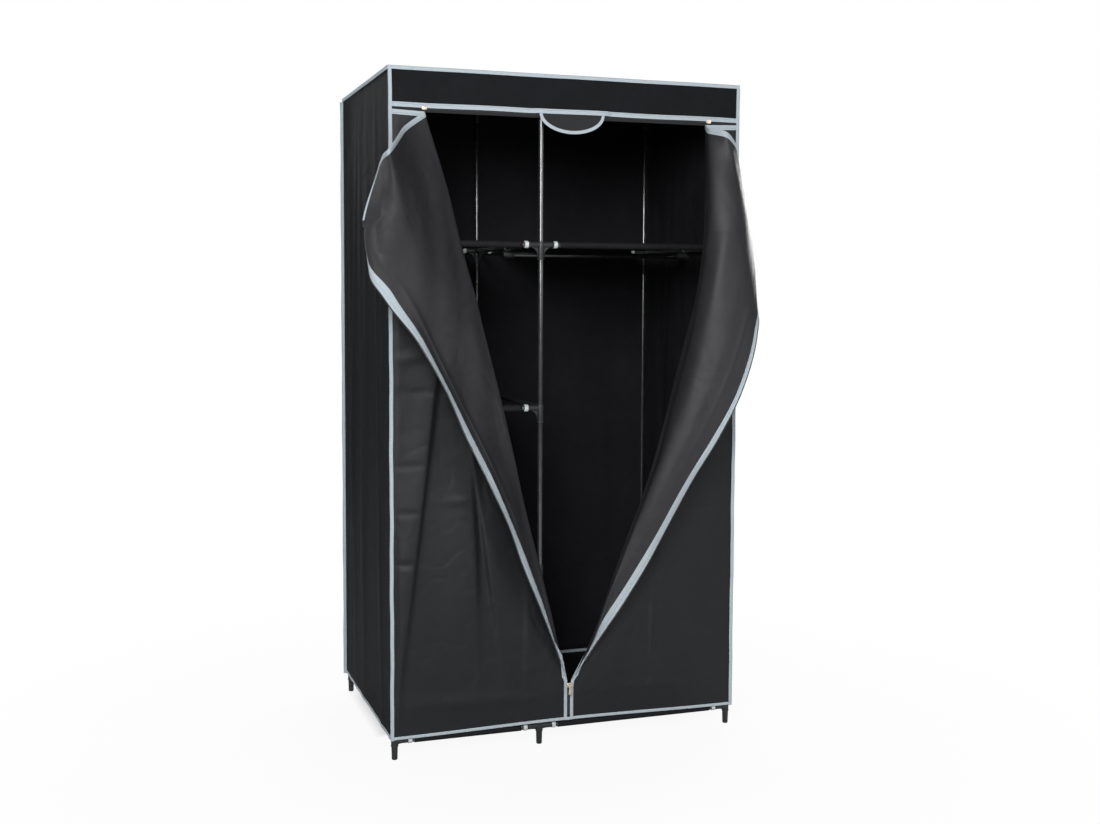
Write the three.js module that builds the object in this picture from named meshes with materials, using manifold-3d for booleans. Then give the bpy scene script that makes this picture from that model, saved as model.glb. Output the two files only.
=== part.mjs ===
// Portable fabric wardrobe: a push-fit tube frame on six feet with fabric
// shelves and a hanging rail, inside a zipped fabric cover whose two door
// flaps are folded open. Millimetres, +X right seen from the front, front
// faces -Y, +Z up, the floor at zero.
import * as THREE from "three";
import { mergeVertices } from "three/addons/utils/BufferGeometryUtils.js";
import Module from "manifold-3d";

const wasm = await Module();
wasm.setup();
const { Manifold, Mesh } = wasm;

// Overall size of the cover
const cover_width = 875;
const cover_depth = 580;
const cover_top = 1599;
const hem_height = 44;
const hem_centre_rise = 15;
const header_share = 53.8;

// Fabric and binding
const fabric_thickness = 1.2;
const binding_width = 10;
const binding_thickness = 2.2;
const seam_gap = 0.3;
const overlap = 0.6;
const frame_clearance = 0.9;
const side_fold_height = 3;
const front_fold_height = 6;

// Frame
const tube_radius = 6.5;
const tube_wall = 0.9;
const post_radius = 6.35;
const post_wall = 0.8;
const middle_post_share = 0.4164;
const bay_count = 4;
const foot_height = 34;
const foot_top_radius = 7.6;
const foot_tip_radius = 6.8;
const foot_tip_round = 2;
const bottom_level = 44;

// Connectors
const sleeve_radius = 8.25;
const sleeve_above = 8;
const sleeve_below = 36;
const bottom_sleeve_below = 13;
const sleeve_cap = 2;
const post_clearance = 0.3;
const arm_radius = 7;
const arm_length = 35;
const spigot_length = 18;
const spigot_clearance = 0.7;
const collar_radius = 8.5;
const collar_over_arm = 4;
const collar_over_tube = 5.5;
const collar_clearance = 0.3;
const web_thickness = 3.2;
const web_reach = 27;
const web_drop = 30;
const bottom_web_drop = 10;

// Shelves, rail and its brackets
const shelf_setback = 47;
const shelf_sleeve_clearance = 0.6;
const shelf_sleeve_wall = 1.2;
const shelf_sag = 7;
const rail_drop = 17;
const bracket_radius = 9;
const bracket_width = 24;
const bracket_clearance = 0.3;
const bracket_reach = 20;
const bracket_wall = 2.7;

// Front opening: zips, sliders and the tab over their meeting point
const top_zip_gap = 12;
const top_zip_strip_share = 832;
const zip_tape_overlap = 4;
const zip_tape_thickness = 1;
const zip_open_height = 152;
const zip_half_gap = 4;
const chain_half_width = 3.6;
const chain_thickness = 2;
const slider_length = 12;
const slider_width = 10;
const slider_thickness = 4.5;
const slider_nub_length = 5;
const slider_nub_thickness = 1.5;
const top_slider_share = 811.5;
const centre_slider_gap = 5;
const ear_thickness = 1.5;
const ear_reach = 4;
const pin_radius = 1.1;
const pin_clearance = 0.1;
const eye_wall = 1.4;
const eye_side_gap = 0.3;
const pull_length = 22;
const pull_width = 8;
const pull_thickness = 1.4;
const tab_half_width = 81;
const tab_drop = 54;
const tab_root_height = 6;
const tab_stand_off = 4.2;

// Division of curved surfaces
const tube_segments = 10;
const post_segments = 12;
const inner_segments = 6;
const small_segments = 10;
const arc_steps = 3;
const flap_columns = 12;
const flap_rows = 22;
const panel_columns = 10;
const panel_rows = 14;
const side_columns = 18;
const tab_steps = 16;
const flap_end_share = 0.985;
const share_unit = 1000;

// Fold lines of the front panels: [distance from the centre line as a share of
// half the width, height as a share of the cover's top]
const left_fold_shares = [
  [807, 938], [718, 863], [617, 758], [576, 713], [535, 679], [482, 622],
  [411, 550], [373, 507], [299, 423], [229, 338], [187, 295], [133, 235],
  [87, 190], [43, 140], [11, 95],
];
const right_fold_shares = [
  [793, 938], [800, 876], [789, 813], [784, 750], [773, 714], [743, 674],
  [670, 600], [613, 542], [544, 469], [464, 396], [382, 338], [327, 303],
  [251, 251], [192, 203], [133, 163], [87, 136], [41, 106], [18, 95],
];

// Folded-open flaps: rows run down the fold line, columns run from the fold
// line to the zipped edge. Each entry is [outward share of half the width,
// forward share of the depth, share of the cover's top].
const left_flap_shape_shares = [
  [
    [807, 1.7, 937], [890, 46, 922], [954, 108, 909], [997, 182, 897],
    [1039, 255, 885], [1091, 320, 870], [1092, 234, 866], [1087, 151, 857],
  ],
  [
    [695, 1.7, 840], [761, 50, 828], [822, 101, 816], [877, 155, 805],
    [932, 209, 793], [994, 255, 779], [1085, 245, 769], [1156, 195, 763],
  ],
  [
    [615, 1.7, 755], [669, 47, 745], [724, 89, 735], [783, 128, 724],
    [844, 165, 713], [910, 194, 702], [987, 210, 691], [1067, 211, 682],
  ],
  [
    [531, 1.7, 675], [583, 38, 666], [636, 70, 657], [692, 99, 648],
    [751, 124, 638], [809, 148, 629], [865, 179, 620], [914, 218, 613],
  ],
  [
    [459, 1.7, 598], [505, 31, 590], [553, 56, 582], [603, 79, 574],
    [653, 101, 566], [700, 128, 558], [739, 163, 551], [769, 204, 546],
  ],
  [
    [387, 1.7, 523], [429, 24, 516], [469, 46, 510], [510, 68, 503],
    [548, 92, 496], [585, 118, 490], [618, 147, 484], [651, 178, 479],
  ],
  [
    [322, 1.7, 449], [358, 19, 444], [390, 39, 438], [420, 62, 433],
    [448, 85, 428], [475, 110, 423], [501, 135, 418], [528, 161, 414],
  ],
  [
    [261, 1.7, 376], [293, 17, 372], [316, 35, 368], [335, 56, 363],
    [354, 78, 360], [374, 99, 356], [393, 121, 352], [411, 143, 349],
  ],
  [
    [197, 1.7, 305], [218, 17, 302], [235, 31, 298], [250, 47, 295],
    [264, 64, 292], [279, 80, 290], [295, 96, 287], [313, 110, 284],
  ],
  [
    [132, 1.7, 234], [145, 17, 232], [158, 25, 230], [170, 35, 228],
    [179, 46, 226], [187, 58, 224], [197, 69, 222], [207, 80, 220],
  ],
  [
    [64, 1.7, 164], [79, 17, 163], [89, 17, 162], [96, 20, 160],
    [98, 26, 160], [100, 33, 159], [103, 39, 158], [106, 45, 157],
  ],
  [
    [11, 1.7, 95], [11, 1.7, 95], [11, 1.7, 95], [11, 1.7, 95],
    [11, 1.7, 95], [11, 1.7, 95], [11, 1.7, 95], [11, 1.7, 95],
  ],
];
const right_flap_shape_shares = [
  [
    [793, 1.7, 937], [749, 81, 930], [716, 161, 924], [770, 227, 912],
    [860, 199, 896], [915, 141, 879], [969, 79, 863], [1024, 17, 848],
  ],
  [
    [793, 1.7, 840], [760, 84, 833], [709, 159, 826], [689, 240, 818],
    [775, 286, 807], [868, 257, 792], [938, 204, 777], [995, 142, 763],
  ],
  [
    [784, 1.7, 755], [753, 82, 748], [706, 157, 742], [661, 232, 735],
    [695, 308, 726], [795, 319, 713], [888, 289, 700], [967, 241, 687],
  ],
  [
    [744, 1.7, 675], [717, 78, 668], [668, 146, 662], [621, 216, 656],
    [634, 292, 647], [719, 327, 635], [815, 325, 623], [912, 310, 612],
  ],
  [
    [668, 1.7, 598], [647, 71, 591], [607, 134, 585], [571, 199, 579],
    [579, 266, 571], [648, 306, 560], [733, 317, 549], [821, 322, 538],
  ],
  [
    [595, 1.7, 523], [579, 63, 516], [543, 119, 511], [508, 176, 506],
    [504, 237, 499], [559, 276, 489], [635, 285, 479], [713, 283, 469],
  ],
  [
    [522, 1.7, 449], [513, 56, 442], [477, 104, 438], [441, 152, 434],
    [421, 204, 429], [465, 240, 420], [532, 242, 411], [599, 224, 405],
  ],
  [
    [436, 1.7, 376], [424, 47, 371], [394, 87, 367], [360, 125, 364],
    [339, 167, 360], [380, 194, 352], [436, 192, 345], [492, 178, 340],
  ],
  [
    [330, 1.7, 305], [327, 36, 300], [306, 67, 297], [277, 95, 295],
    [261, 127, 292], [299, 138, 286], [342, 137, 281], [385, 136, 275],
  ],
  [
    [230, 1.7, 234], [236, 25, 230], [224, 47, 228], [202, 65, 227],
    [188, 86, 225], [216, 76, 222], [244, 80, 218], [268, 92, 214],
  ],
  [
    [135, 1.7, 164], [141, 17, 161], [133, 31, 160], [123, 44, 159],
    [129, 32, 158], [137, 20, 157], [137, 34, 156], [140, 47, 154],
  ],
  [
    [18, 1.7, 95], [18, 1.7, 95], [18, 1.7, 95], [18, 1.7, 95],
    [18, 1.7, 95], [18, 1.7, 95], [18, 1.7, 95], [18, 1.7, 95],
  ],
];

// Derived sizes
const half_width = cover_width / 2;
const half_depth = cover_depth / 2;
const post_inset = fabric_thickness + frame_clearance + collar_radius;
const post_x = half_width - post_inset;
const post_y = half_depth - post_inset;
const middle_x = -post_x + 2 * post_x * middle_post_share;
const top_level = cover_top - fabric_thickness - frame_clearance - collar_radius;
const bay_height = (top_level - bottom_level) / bay_count;
const lower_level = bottom_level + bay_height;
const mid_level = lower_level + bay_height;
const upper_level = mid_level + bay_height;
const front_plane = -half_depth;
const header_bottom = cover_top - (cover_top * header_share) / share_unit;
const top_zip_strip_end = (half_width * top_zip_strip_share) / share_unit;
const top_slider_start = (half_width * top_slider_share) / share_unit;
const strip_top = header_bottom - top_zip_gap;
const roof_rim_bottom = cover_top - binding_width;

const fabric = new THREE.MeshStandardMaterial({ color: 0x2b2d30, roughness: 0.9, metalness: 0 });
const flap_fabric = new THREE.MeshStandardMaterial({ color: 0x3c3c40, roughness: 0.85, metalness: 0 });
const shelf_fabric = new THREE.MeshStandardMaterial({ color: 0x1c1c1e, roughness: 0.9, metalness: 0 });
const steel = new THREE.MeshStandardMaterial({ color: 0x3a3d40, roughness: 0.25, metalness: 0.6 });
const plastic = new THREE.MeshStandardMaterial({ color: 0x17181a, roughness: 0.5, metalness: 0 });
const brass = new THREE.MeshStandardMaterial({ color: 0xc9a06a, roughness: 0.3, metalness: 0.9 });
const chain_plastic = new THREE.MeshStandardMaterial({ color: 0x3a3a3c, roughness: 0.5, metalness: 0 });

const wardrobe = new THREE.Group();
wardrobe.name = "portable_fabric_wardrobe";

// Solid and mesh helpers
function solidOf(geometry) {
  const bare = geometry.index ? geometry.toNonIndexed() : geometry.clone();
  bare.deleteAttribute("normal");
  bare.deleteAttribute("uv");
  const merged = mergeVertices(bare, 1e-4);
  const made = new Manifold(
    new Mesh({
      numProp: 3,
      vertProperties: merged.attributes.position.array,
      triVerts: new Uint32Array(merged.index.array),
    }),
  );
  return made;
}

function addSolid(name, solid, material) {
  const mesh_data = solid.getMesh();
  const count = mesh_data.numProp;
  const positions = new Float32Array(mesh_data.numVert * 3);
  for (let i = 0; i < mesh_data.numVert; i++) {
    positions.set(mesh_data.vertProperties.subarray(i * count, i * count + 3), i * 3);
  }
  const geometry = new THREE.BufferGeometry();
  geometry.setAttribute("position", new THREE.BufferAttribute(positions, 3));
  geometry.setIndex(new THREE.BufferAttribute(mesh_data.triVerts, 1));
  geometry.computeVertexNormals();
  const mesh = new THREE.Mesh(geometry, material);
  mesh.name = name;
  wardrobe.add(mesh);
}

function join(solids) {
  return Manifold.union(solids);
}

function box(x0, x1, y0, y1, z0, z1) {
  return Manifold.cube([x1 - x0, y1 - y0, z1 - z0]).translate([x0, y0, z0]);
}

// A round bar along one axis, from one end value to the other.
function bar(axis, from, to, across, radius, end_radius = radius, segments = tube_segments) {
  const length = to - from;
  const upright = Manifold.cylinder(length, radius, end_radius, segments);
  if (axis === "z") {
    return upright.translate([across[0], across[1], from]);
  }
  if (axis === "x") {
    return upright.rotate([0, 90, 0]).translate([from, across[0], across[1]]);
  }
  return upright.rotate([-90, 0, 0]).translate([across[0], from, across[1]]);
}

// A flat outline in the XZ plane given depth along Y.
function plate(outline, y0, y1) {
  const shape = new THREE.Shape();
  outline.forEach(([x, z], i) => (i ? shape.lineTo(x, z) : shape.moveTo(x, z)));
  const geometry = new THREE.ExtrudeGeometry(shape, { depth: y1 - y0, bevelEnabled: false });
  geometry.rotateX(Math.PI / 2);
  geometry.translate(0, y1, 0);
  return solidOf(geometry);
}

// A thin closed skin laid over a grid of points; thickness is centred on it.
function skin(points, thicknessAt) {
  const rows = points.length;
  const columns = points[0].length;
  const a = new THREE.Vector3();
  const b = new THREE.Vector3();
  const faces = [[], []];
  for (let i = 0; i < rows; i++) {
    for (let j = 0; j < columns; j++) {
      const left = points[i][Math.max(0, j - 1)];
      const right = points[i][Math.min(columns - 1, j + 1)];
      const above = points[Math.max(0, i - 1)][j];
      const below = points[Math.min(rows - 1, i + 1)][j];
      a.subVectors(right, left);
      b.subVectors(below, above);
      const normal = a.cross(b).normalize();
      const half = thicknessAt(i, j) / 2;
      faces[0].push(points[i][j].clone().addScaledVector(normal, half));
      faces[1].push(points[i][j].clone().addScaledVector(normal, -half));
    }
  }
  const total = rows * columns;
  const positions = [...faces[0], ...faces[1]].flatMap((p) => [p.x, p.y, p.z]);
  const index = [];
  const quad = (p, q, r, s) => index.push(p, q, r, p, r, s);
  for (let i = 0; i + 1 < rows; i++) {
    for (let j = 0; j + 1 < columns; j++) {
      const p = i * columns + j;
      quad(p, p + columns, p + columns + 1, p + 1);
      quad(p + total, p + total + 1, p + total + columns + 1, p + total + columns);
    }
  }
  for (let j = 0; j + 1 < columns; j++) {
    const last = (rows - 1) * columns + j;
    quad(j, j + 1, j + 1 + total, j + total);
    quad(last, last + total, last + 1 + total, last + 1);
  }
  for (let i = 0; i + 1 < rows; i++) {
    const first = i * columns;
    const last = first + columns - 1;
    quad(first, first + total, first + columns + total, first + columns);
    quad(last, last + columns, last + columns + total, last + total);
  }
  const geometry = new THREE.BufferGeometry();
  geometry.setAttribute("position", new THREE.Float32BufferAttribute(positions, 3));
  geometry.setIndex(index);
  let solid = solidOf(geometry);
  if (solid.volume() < 0) {
    for (let k = 0; k < index.length; k += 3) {
      [index[k + 1], index[k + 2]] = [index[k + 2], index[k + 1]];
    }
    geometry.setIndex(index);
    solid = solidOf(geometry);
  }
  return solid;
}

// Smooth value through a row of equally spaced samples.
function spline(samples, t) {
  const last = samples.length - 1;
  const place = Math.min(Math.max(t, 0), 1) * last;
  const k = Math.min(Math.floor(place), last - 1);
  const f = place - k;
  const at = (i) => samples[Math.min(Math.max(i, 0), last)];
  const p0 = k > 0 ? at(k - 1) : 2 * at(0) - at(1);
  const p3 = k + 2 <= last ? at(k + 2) : 2 * at(last) - at(last - 1);
  const [p1, p2] = [at(k), at(k + 1)];
  const bend = 2 * p0 - 5 * p1 + 4 * p2 - p3;
  return p1 + (f / 2) * (p2 - p0 + f * (bend + f * (3 * (p1 - p2) + p3 - p0)));
}

// Straight-line value of a table of [value, height] pairs that falls in height.
function foldDistance(table, height) {
  const share = (height / cover_top) * share_unit;
  let k = 0;
  while (k + 2 < table.length && table[k + 1][1] > share) {
    k++;
  }
  const [upper, lower] = [table[k], table[k + 1]];
  const part = Math.min(Math.max((upper[1] - share) / (upper[1] - lower[1]), 0), 1);
  return ((upper[0] + (lower[0] - upper[0]) * part) / share_unit) * half_width;
}

function hemAt(x) {
  return hem_height + hem_centre_rise * Math.cos((x / half_width) * (Math.PI / 2)) ** 2;
}

// Frame: posts
const columns_x = { left: -post_x, middle: middle_x, right: post_x };
const rows_y = { front: -post_y, back: post_y };
const post_foot = foot_height - sleeve_cap;
const post_top = top_level + sleeve_above - sleeve_cap - seam_gap;
for (const [row, y] of Object.entries(rows_y)) {
  for (const [column, x] of Object.entries(columns_x)) {
    const outer = bar("z", post_foot, post_top, [x, y], post_radius, post_radius, post_segments);
    const inner_radius = post_radius - post_wall;
    const bore = bar(
      "z", post_foot - overlap, post_top + overlap, [x, y],
      inner_radius, inner_radius, inner_segments,
    );
    addSolid("post_" + row + "_" + column, outer.subtract(bore), steel);
  }
}

// A curved web under an arm: outline runs out along the arm and down the sleeve.
function webOutline(reach, drop, radius) {
  const outline = [[0, 0], [reach, 0]];
  for (let k = 0; k <= arc_steps; k++) {
    const turn = (k / arc_steps) * (Math.PI / 2);
    const out = reach - (reach - radius) * Math.sin(turn);
    const down = arm_radius + (drop - arm_radius) * (1 - Math.cos(turn));
    outline.push([out, -down]);
  }
  outline.push([0, -drop]);
  return outline;
}

function connectorSolids(x, y, level, arm_signs, depth_sign) {
  const is_top = level === top_level;
  const is_bottom = level === bottom_level;
  const below = is_bottom ? bottom_sleeve_below : sleeve_below;
  const drop = is_bottom ? bottom_web_drop : web_drop;
  const parts = [
    bar("z", level - below, level + sleeve_above, [x, y], sleeve_radius, sleeve_radius, post_segments),
  ];
  if (is_bottom) {
    parts.push(bar("z", foot_tip_round, level - below, [x, y], foot_tip_radius, foot_top_radius));
    parts.push(bar("z", 0, foot_tip_round, [x, y], foot_tip_radius - foot_tip_round, foot_tip_radius));
  }
  const outline = webOutline(web_reach, drop, sleeve_radius - overlap);
  const web = plate(outline, -web_thickness / 2, web_thickness / 2);
  const spigot_radius = tube_radius - tube_wall - spigot_clearance;
  for (const sign of arm_signs) {
    const end = x + sign * arm_length;
    const tip = end + sign * spigot_length;
    parts.push(bar("x", Math.min(x, end), Math.max(x, end), [y, level], arm_radius));
    parts.push(
      bar(
        "x", Math.min(end, tip) - overlap, Math.max(end, tip) + overlap,
        [y, level], spigot_radius, spigot_radius, inner_segments,
      ),
    );
    const turned = sign > 0 ? web : web.rotate([0, 0, 180]);
    parts.push(turned.translate([x, y, level]));
  }
  const depth_end = y + depth_sign * arm_length;
  parts.push(bar("y", Math.min(y, depth_end), Math.max(y, depth_end), [x, level], arm_radius));
  parts.push(web.rotate([0, 0, depth_sign * 90]).translate([x, y, level]));
  const bore_low = is_bottom ? post_foot - seam_gap : level - below - overlap;
  const bore_high = is_top ? level + sleeve_above - sleeve_cap : level + sleeve_above + overlap;
  const bore_radius = post_radius + post_clearance;
  const bore = bar("z", bore_low, bore_high, [x, y], bore_radius, bore_radius, post_segments);
  return { parts, bore };
}

// Depth tubes, each with its front and back connector
const levels = {
  bottom: bottom_level,
  lower: lower_level,
  mid: mid_level,
  upper: upper_level,
  top: top_level,
};
const full_levels = ["bottom", "upper", "top"];
for (const [name, level] of Object.entries(levels)) {
  const is_full = full_levels.includes(name);
  for (const [column, x] of Object.entries(columns_x)) {
    if (column === "right" && !is_full) {
      continue;
    }
    const arm_signs = [];
    if (column !== "right") {
      arm_signs.push(column === "left" ? 1 : -1);
    }
    if (is_full && column === "middle") {
      arm_signs.push(1);
    }
    if (column === "right") {
      arm_signs.push(-1);
    }
    const front = connectorSolids(x, -post_y, level, arm_signs, 1);
    const back = connectorSolids(x, post_y, level, arm_signs, -1);
    const middle = bar("y", -post_y + arm_length - overlap, post_y - arm_length + overlap, [x, level], tube_radius);
    const whole = join([...front.parts, ...back.parts, middle]);
    addSolid("rung_" + name + "_" + column, whole.subtract(front.bore).subtract(back.bore), plastic);
  }
}

// Width tubes with a collar at each end
function widthTube(from_x, to_x, y, level) {
  const start = from_x + arm_length + seam_gap;
  const end = to_x - arm_length - seam_gap;
  const across = [y, level];
  const outer = join([
    bar("x", start, end, across, tube_radius),
    bar("x", start - collar_over_arm, start + collar_over_tube, across, collar_radius),
    bar("x", end - collar_over_tube, end + collar_over_arm, across, collar_radius),
  ]);
  const inner_radius = tube_radius - tube_wall;
  const bore = bar(
    "x", start - collar_over_arm, end + collar_over_arm, across,
    inner_radius, inner_radius, inner_segments,
  );
  const arm_bore = arm_radius + collar_clearance;
  const left_mouth = bar("x", start - collar_over_arm - overlap, start, across, arm_bore);
  const right_mouth = bar("x", end, end + collar_over_arm + overlap, across, arm_bore);
  return outer.subtract(bore).subtract(left_mouth).subtract(right_mouth);
}
const spans = { left: [-post_x, middle_x], right: [middle_x, post_x] };
for (const [name, level] of Object.entries(levels)) {
  for (const [side, [from_x, to_x]] of Object.entries(spans)) {
    if (side === "right" && !full_levels.includes(name)) {
      continue;
    }
    for (const [row, y] of Object.entries(rows_y)) {
      addSolid("tube_" + row + "_" + name + "_" + side, widthTube(from_x, to_x, y, level), steel);
    }
  }
}

// Fabric shelves slung between the front and back tubes
function shelf(from_x, to_x, level) {
  const start = from_x + shelf_setback;
  const end = to_x - shelf_setback;
  const inner = tube_radius + shelf_sleeve_clearance;
  const outer = inner + shelf_sleeve_wall;
  const sleeves = [-post_y, post_y].map((y) => bar("x", start, end, [y, level], outer));
  const bores = [-post_y, post_y].map((y) => bar("x", start - overlap, end + overlap, [y, level], inner));
  const sag_at = (t) => inner - shelf_sag * (1 - (2 * t - 1) ** 2);
  const top = [];
  const under = [];
  const steps = small_segments;
  for (let k = 0; k <= steps; k++) {
    const y = -post_y + 2 * post_y * (k / steps);
    const z = level + sag_at(k / steps);
    top.push([y, z + shelf_sleeve_wall]);
    under.unshift([y, z]);
  }
  const sheet = plate([...top, ...under], -end, -start).rotate([0, 0, 90]);
  return join([...sleeves, sheet]).subtract(bores[0]).subtract(bores[1]);
}
for (const [name, level] of Object.entries(levels)) {
  if (name === "top") {
    continue;
  }
  for (const [side, [from_x, to_x]] of Object.entries(spans)) {
    if (side === "right" && !full_levels.includes(name)) {
      continue;
    }
    addSolid("shelf_" + name + "_" + side, shelf(from_x, to_x, level), shelf_fabric);
  }
}

// Hanging rail and the brackets that carry it under the upper depth tubes
const rail_level = upper_level - rail_drop;
for (const [side, x, sign] of [["left", middle_x, 1], ["right", post_x, -1]]) {
  const mouth = x + sign * bracket_reach;
  const closed = x - sign * bracket_radius;
  const seat = closed + sign * bracket_wall;
  const saddle = bar("y", -bracket_width / 2, bracket_width / 2, [x, upper_level], bracket_radius);
  const socket = bar("x", Math.min(mouth, closed), Math.max(mouth, closed), [0, rail_level], bracket_radius);
  const rung_bore = bar(
    "y", -bracket_width / 2 - overlap, bracket_width / 2 + overlap, [x, upper_level], tube_radius + bracket_clearance,
  );
  const past = mouth + sign * overlap;
  const rail_bore = bar(
    "x", Math.min(past, seat), Math.max(past, seat), [0, rail_level], tube_radius + bracket_clearance,
  );
  addSolid("rail_bracket_" + side, join([saddle, socket]).subtract(rung_bore).subtract(rail_bore), plastic);
}
const rail_end_inset = bracket_radius - bracket_wall - seam_gap;
addSolid(
  "hanging_rail",
  bar("x", middle_x - rail_end_inset, post_x + rail_end_inset, [0, rail_level], tube_radius).subtract(
    bar("x", middle_x - half_width, post_x + half_width, [0, rail_level], tube_radius - tube_wall),
  ),
  steel,
);

// Cover roof with its bound rim
const rim_out = seam_gap + binding_thickness;
const rim_x = half_width + rim_out;
const rim_y = half_depth + rim_out;
addSolid(
  "roof_panel",
  box(-rim_x, rim_x, -rim_y, rim_y, roof_rim_bottom, cover_top).subtract(
    box(
      -half_width - seam_gap, half_width + seam_gap,
      -half_depth - seam_gap, half_depth + seam_gap,
      roof_rim_bottom - overlap, cover_top - fabric_thickness,
    ),
  ),
  fabric,
);

// Walls: shallow upright folds that die out at the seams
const wall_top = cover_top - fabric_thickness - seam_gap;
const strip_reach = rim_x - binding_width;
function foldHeight(share, count, height) {
  return height * Math.sin(Math.PI * share) * Math.sin(Math.PI * count * share) ** 2;
}
function wall(length, count, low, placed) {
  const rows = [wall_top, (wall_top + low) / 2, low];
  const points = rows.map((z, i) =>
    Array.from({ length: side_columns + 1 }, (_, j) => {
      const share = j / side_columns;
      const out = i ? foldHeight(share, count, side_fold_height) : 0;
      return placed(share * length, out - fabric_thickness / 2, z);
    }),
  );
  return skin(points, () => fabric_thickness);
}
const side_fold_count = 3;
const back_fold_count = 4;
const wall_depth = cover_depth - fabric_thickness - 2 * seam_gap;
for (const [side, sign] of [["left", -1], ["right", 1]]) {
  const sheet = wall(wall_depth, side_fold_count, hem_height, (along, out, z) =>
    new THREE.Vector3(sign * (half_width + out), -half_depth + along, z),
  );
  const edge_low = Math.min(sign * rim_x, sign * strip_reach);
  const edge_high = Math.max(sign * rim_x, sign * strip_reach);
  const corner = box(
    edge_low, edge_high, -rim_y, -half_depth - seam_gap, hem_height, roof_rim_bottom - seam_gap,
  );
  const link_low = Math.min(sign * half_width, sign * (half_width - fabric_thickness));
  const link = box(
    link_low, link_low + fabric_thickness,
    -half_depth - seam_gap - overlap, -half_depth + overlap,
    hem_height, roof_rim_bottom - seam_gap,
  );
  addSolid("side_panel_" + side, join([sheet, corner, link]), fabric);
}
addSolid(
  "back_panel",
  wall(cover_width - 2 * fabric_thickness - 2 * seam_gap, back_fold_count, hem_height, (along, out, z) =>
    new THREE.Vector3(-half_width + fabric_thickness + seam_gap + along, half_depth + Math.min(out, -fabric_thickness / 2), z),
  ),
  fabric,
);

// Header band above the opening and the zip tape behind its lower edge
const front_half = half_width - fabric_thickness - seam_gap;
const face_front = front_plane - binding_thickness;
const face_back = front_plane + fabric_thickness;
const ridge_half = strip_reach - seam_gap;
addSolid(
  "header_band",
  join([
    box(-front_half, front_half, front_plane, face_back, header_bottom, wall_top),
    box(-ridge_half, ridge_half, face_front, front_plane + overlap, header_bottom, header_bottom + binding_width),
  ]),
  fabric,
);
const tape_front = face_back + seam_gap;
addSolid(
  "top_zip_tape",
  box(
    -front_half, front_half, tape_front, tape_front + zip_tape_thickness,
    strip_top - zip_tape_overlap, header_bottom + zip_tape_overlap,
  ),
  chain_plastic,
);

// Front panels from the corner to the fold line, closed down the centre below
function frontPanel(sign, fold_table) {
  const points = [];
  for (let i = 0; i <= panel_rows; i++) {
    const row = [];
    for (let j = 0; j <= panel_columns; j++) {
      const drop_share = i / panel_rows;
      const height_guess = strip_top + (zip_open_height - strip_top) * (drop_share * panel_rows) / (panel_rows - 2);
      const is_below = i > panel_rows - 2;
      const height = is_below ? zip_open_height : height_guess;
      const centre_edge = zip_half_gap + seam_gap;
      const inner = is_below ? centre_edge : Math.max(foldDistance(fold_table, height), centre_edge);
      const share = j / panel_columns;
      const x = sign * (front_half + (inner - front_half) * share);
      const low = hemAt(x);
      const z = is_below ? zip_open_height + (low - zip_open_height) * (i - panel_rows + 2) / 2 : height;
      const fade = Math.sin(Math.PI * share) * Math.sin(Math.PI * drop_share);
      const bump = front_fold_height * fade * Math.sin(2 * Math.PI * share) ** 2;
      row.push(new THREE.Vector3(x, front_plane + fabric_thickness / 2 - bump, z));
    }
    points.push(row);
  }
  return skin(points, () => fabric_thickness);
}

function hemRidge(sign) {
  const start = Math.min(ridge_half, front_half);
  const lower = [];
  const upper = [];
  for (let k = 0; k <= panel_columns; k++) {
    const x = sign * (start + (zip_half_gap - start) * (k / panel_columns));
    lower.push([x, hemAt(x) - seam_gap]);
    upper.unshift([x, hemAt(x) + binding_width]);
  }
  const outline = [...lower, ...upper];
  return plate(sign > 0 ? outline.reverse() : outline, face_front, front_plane + overlap);
}

function span(sign, near, far) {
  return [Math.min(sign * near, sign * far), Math.max(sign * near, sign * far)];
}

for (const [side, sign, table] of [["left", -1, left_fold_shares], ["right", 1, right_fold_shares]]) {
  const [zip_low, zip_high] = span(sign, zip_half_gap, zip_half_gap + binding_width);
  const [strip_low, strip_high] = span(sign, top_zip_strip_end, ridge_half);
  const centre_ridge = box(
    zip_low, zip_high, face_front, front_plane + overlap,
    hemAt(zip_half_gap) + seam_gap, zip_open_height - slider_length,
  );
  const top_ridge = box(
    strip_low, strip_high, face_front, front_plane + overlap, strip_top - binding_width, strip_top + seam_gap,
  );
  addSolid(
    "front_panel_" + side,
    join([frontPanel(sign, table), hemRidge(sign), centre_ridge, top_ridge]),
    fabric,
  );
}

// Flaps, thicker along the bound top and zipped edges
function flap(sign, table) {
  const points = [];
  for (let i = 0; i <= flap_rows; i++) {
    const down = (i / flap_rows) * flap_end_share;
    const row = [];
    for (let j = 0; j <= flap_columns; j++) {
      const out = j / flap_columns;
      const value = (axis) =>
        spline(table.map((entries) => spline(entries.map((entry) => entry[axis]), out)), down) / share_unit;
      row.push(
        new THREE.Vector3(
          sign * value(0) * half_width,
          front_plane - value(1) * cover_depth,
          value(2) * cover_top,
        ),
      );
    }
    points.push(row);
  }
  return skin(points, (i, j) => ((i < 1 && j > 1) || j >= flap_columns - 1 ? binding_thickness : fabric_thickness));
}
addSolid("door_flap_left", flap(-1, left_flap_shape_shares), flap_fabric);
addSolid("door_flap_right", flap(1, right_flap_shape_shares), flap_fabric);

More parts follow.
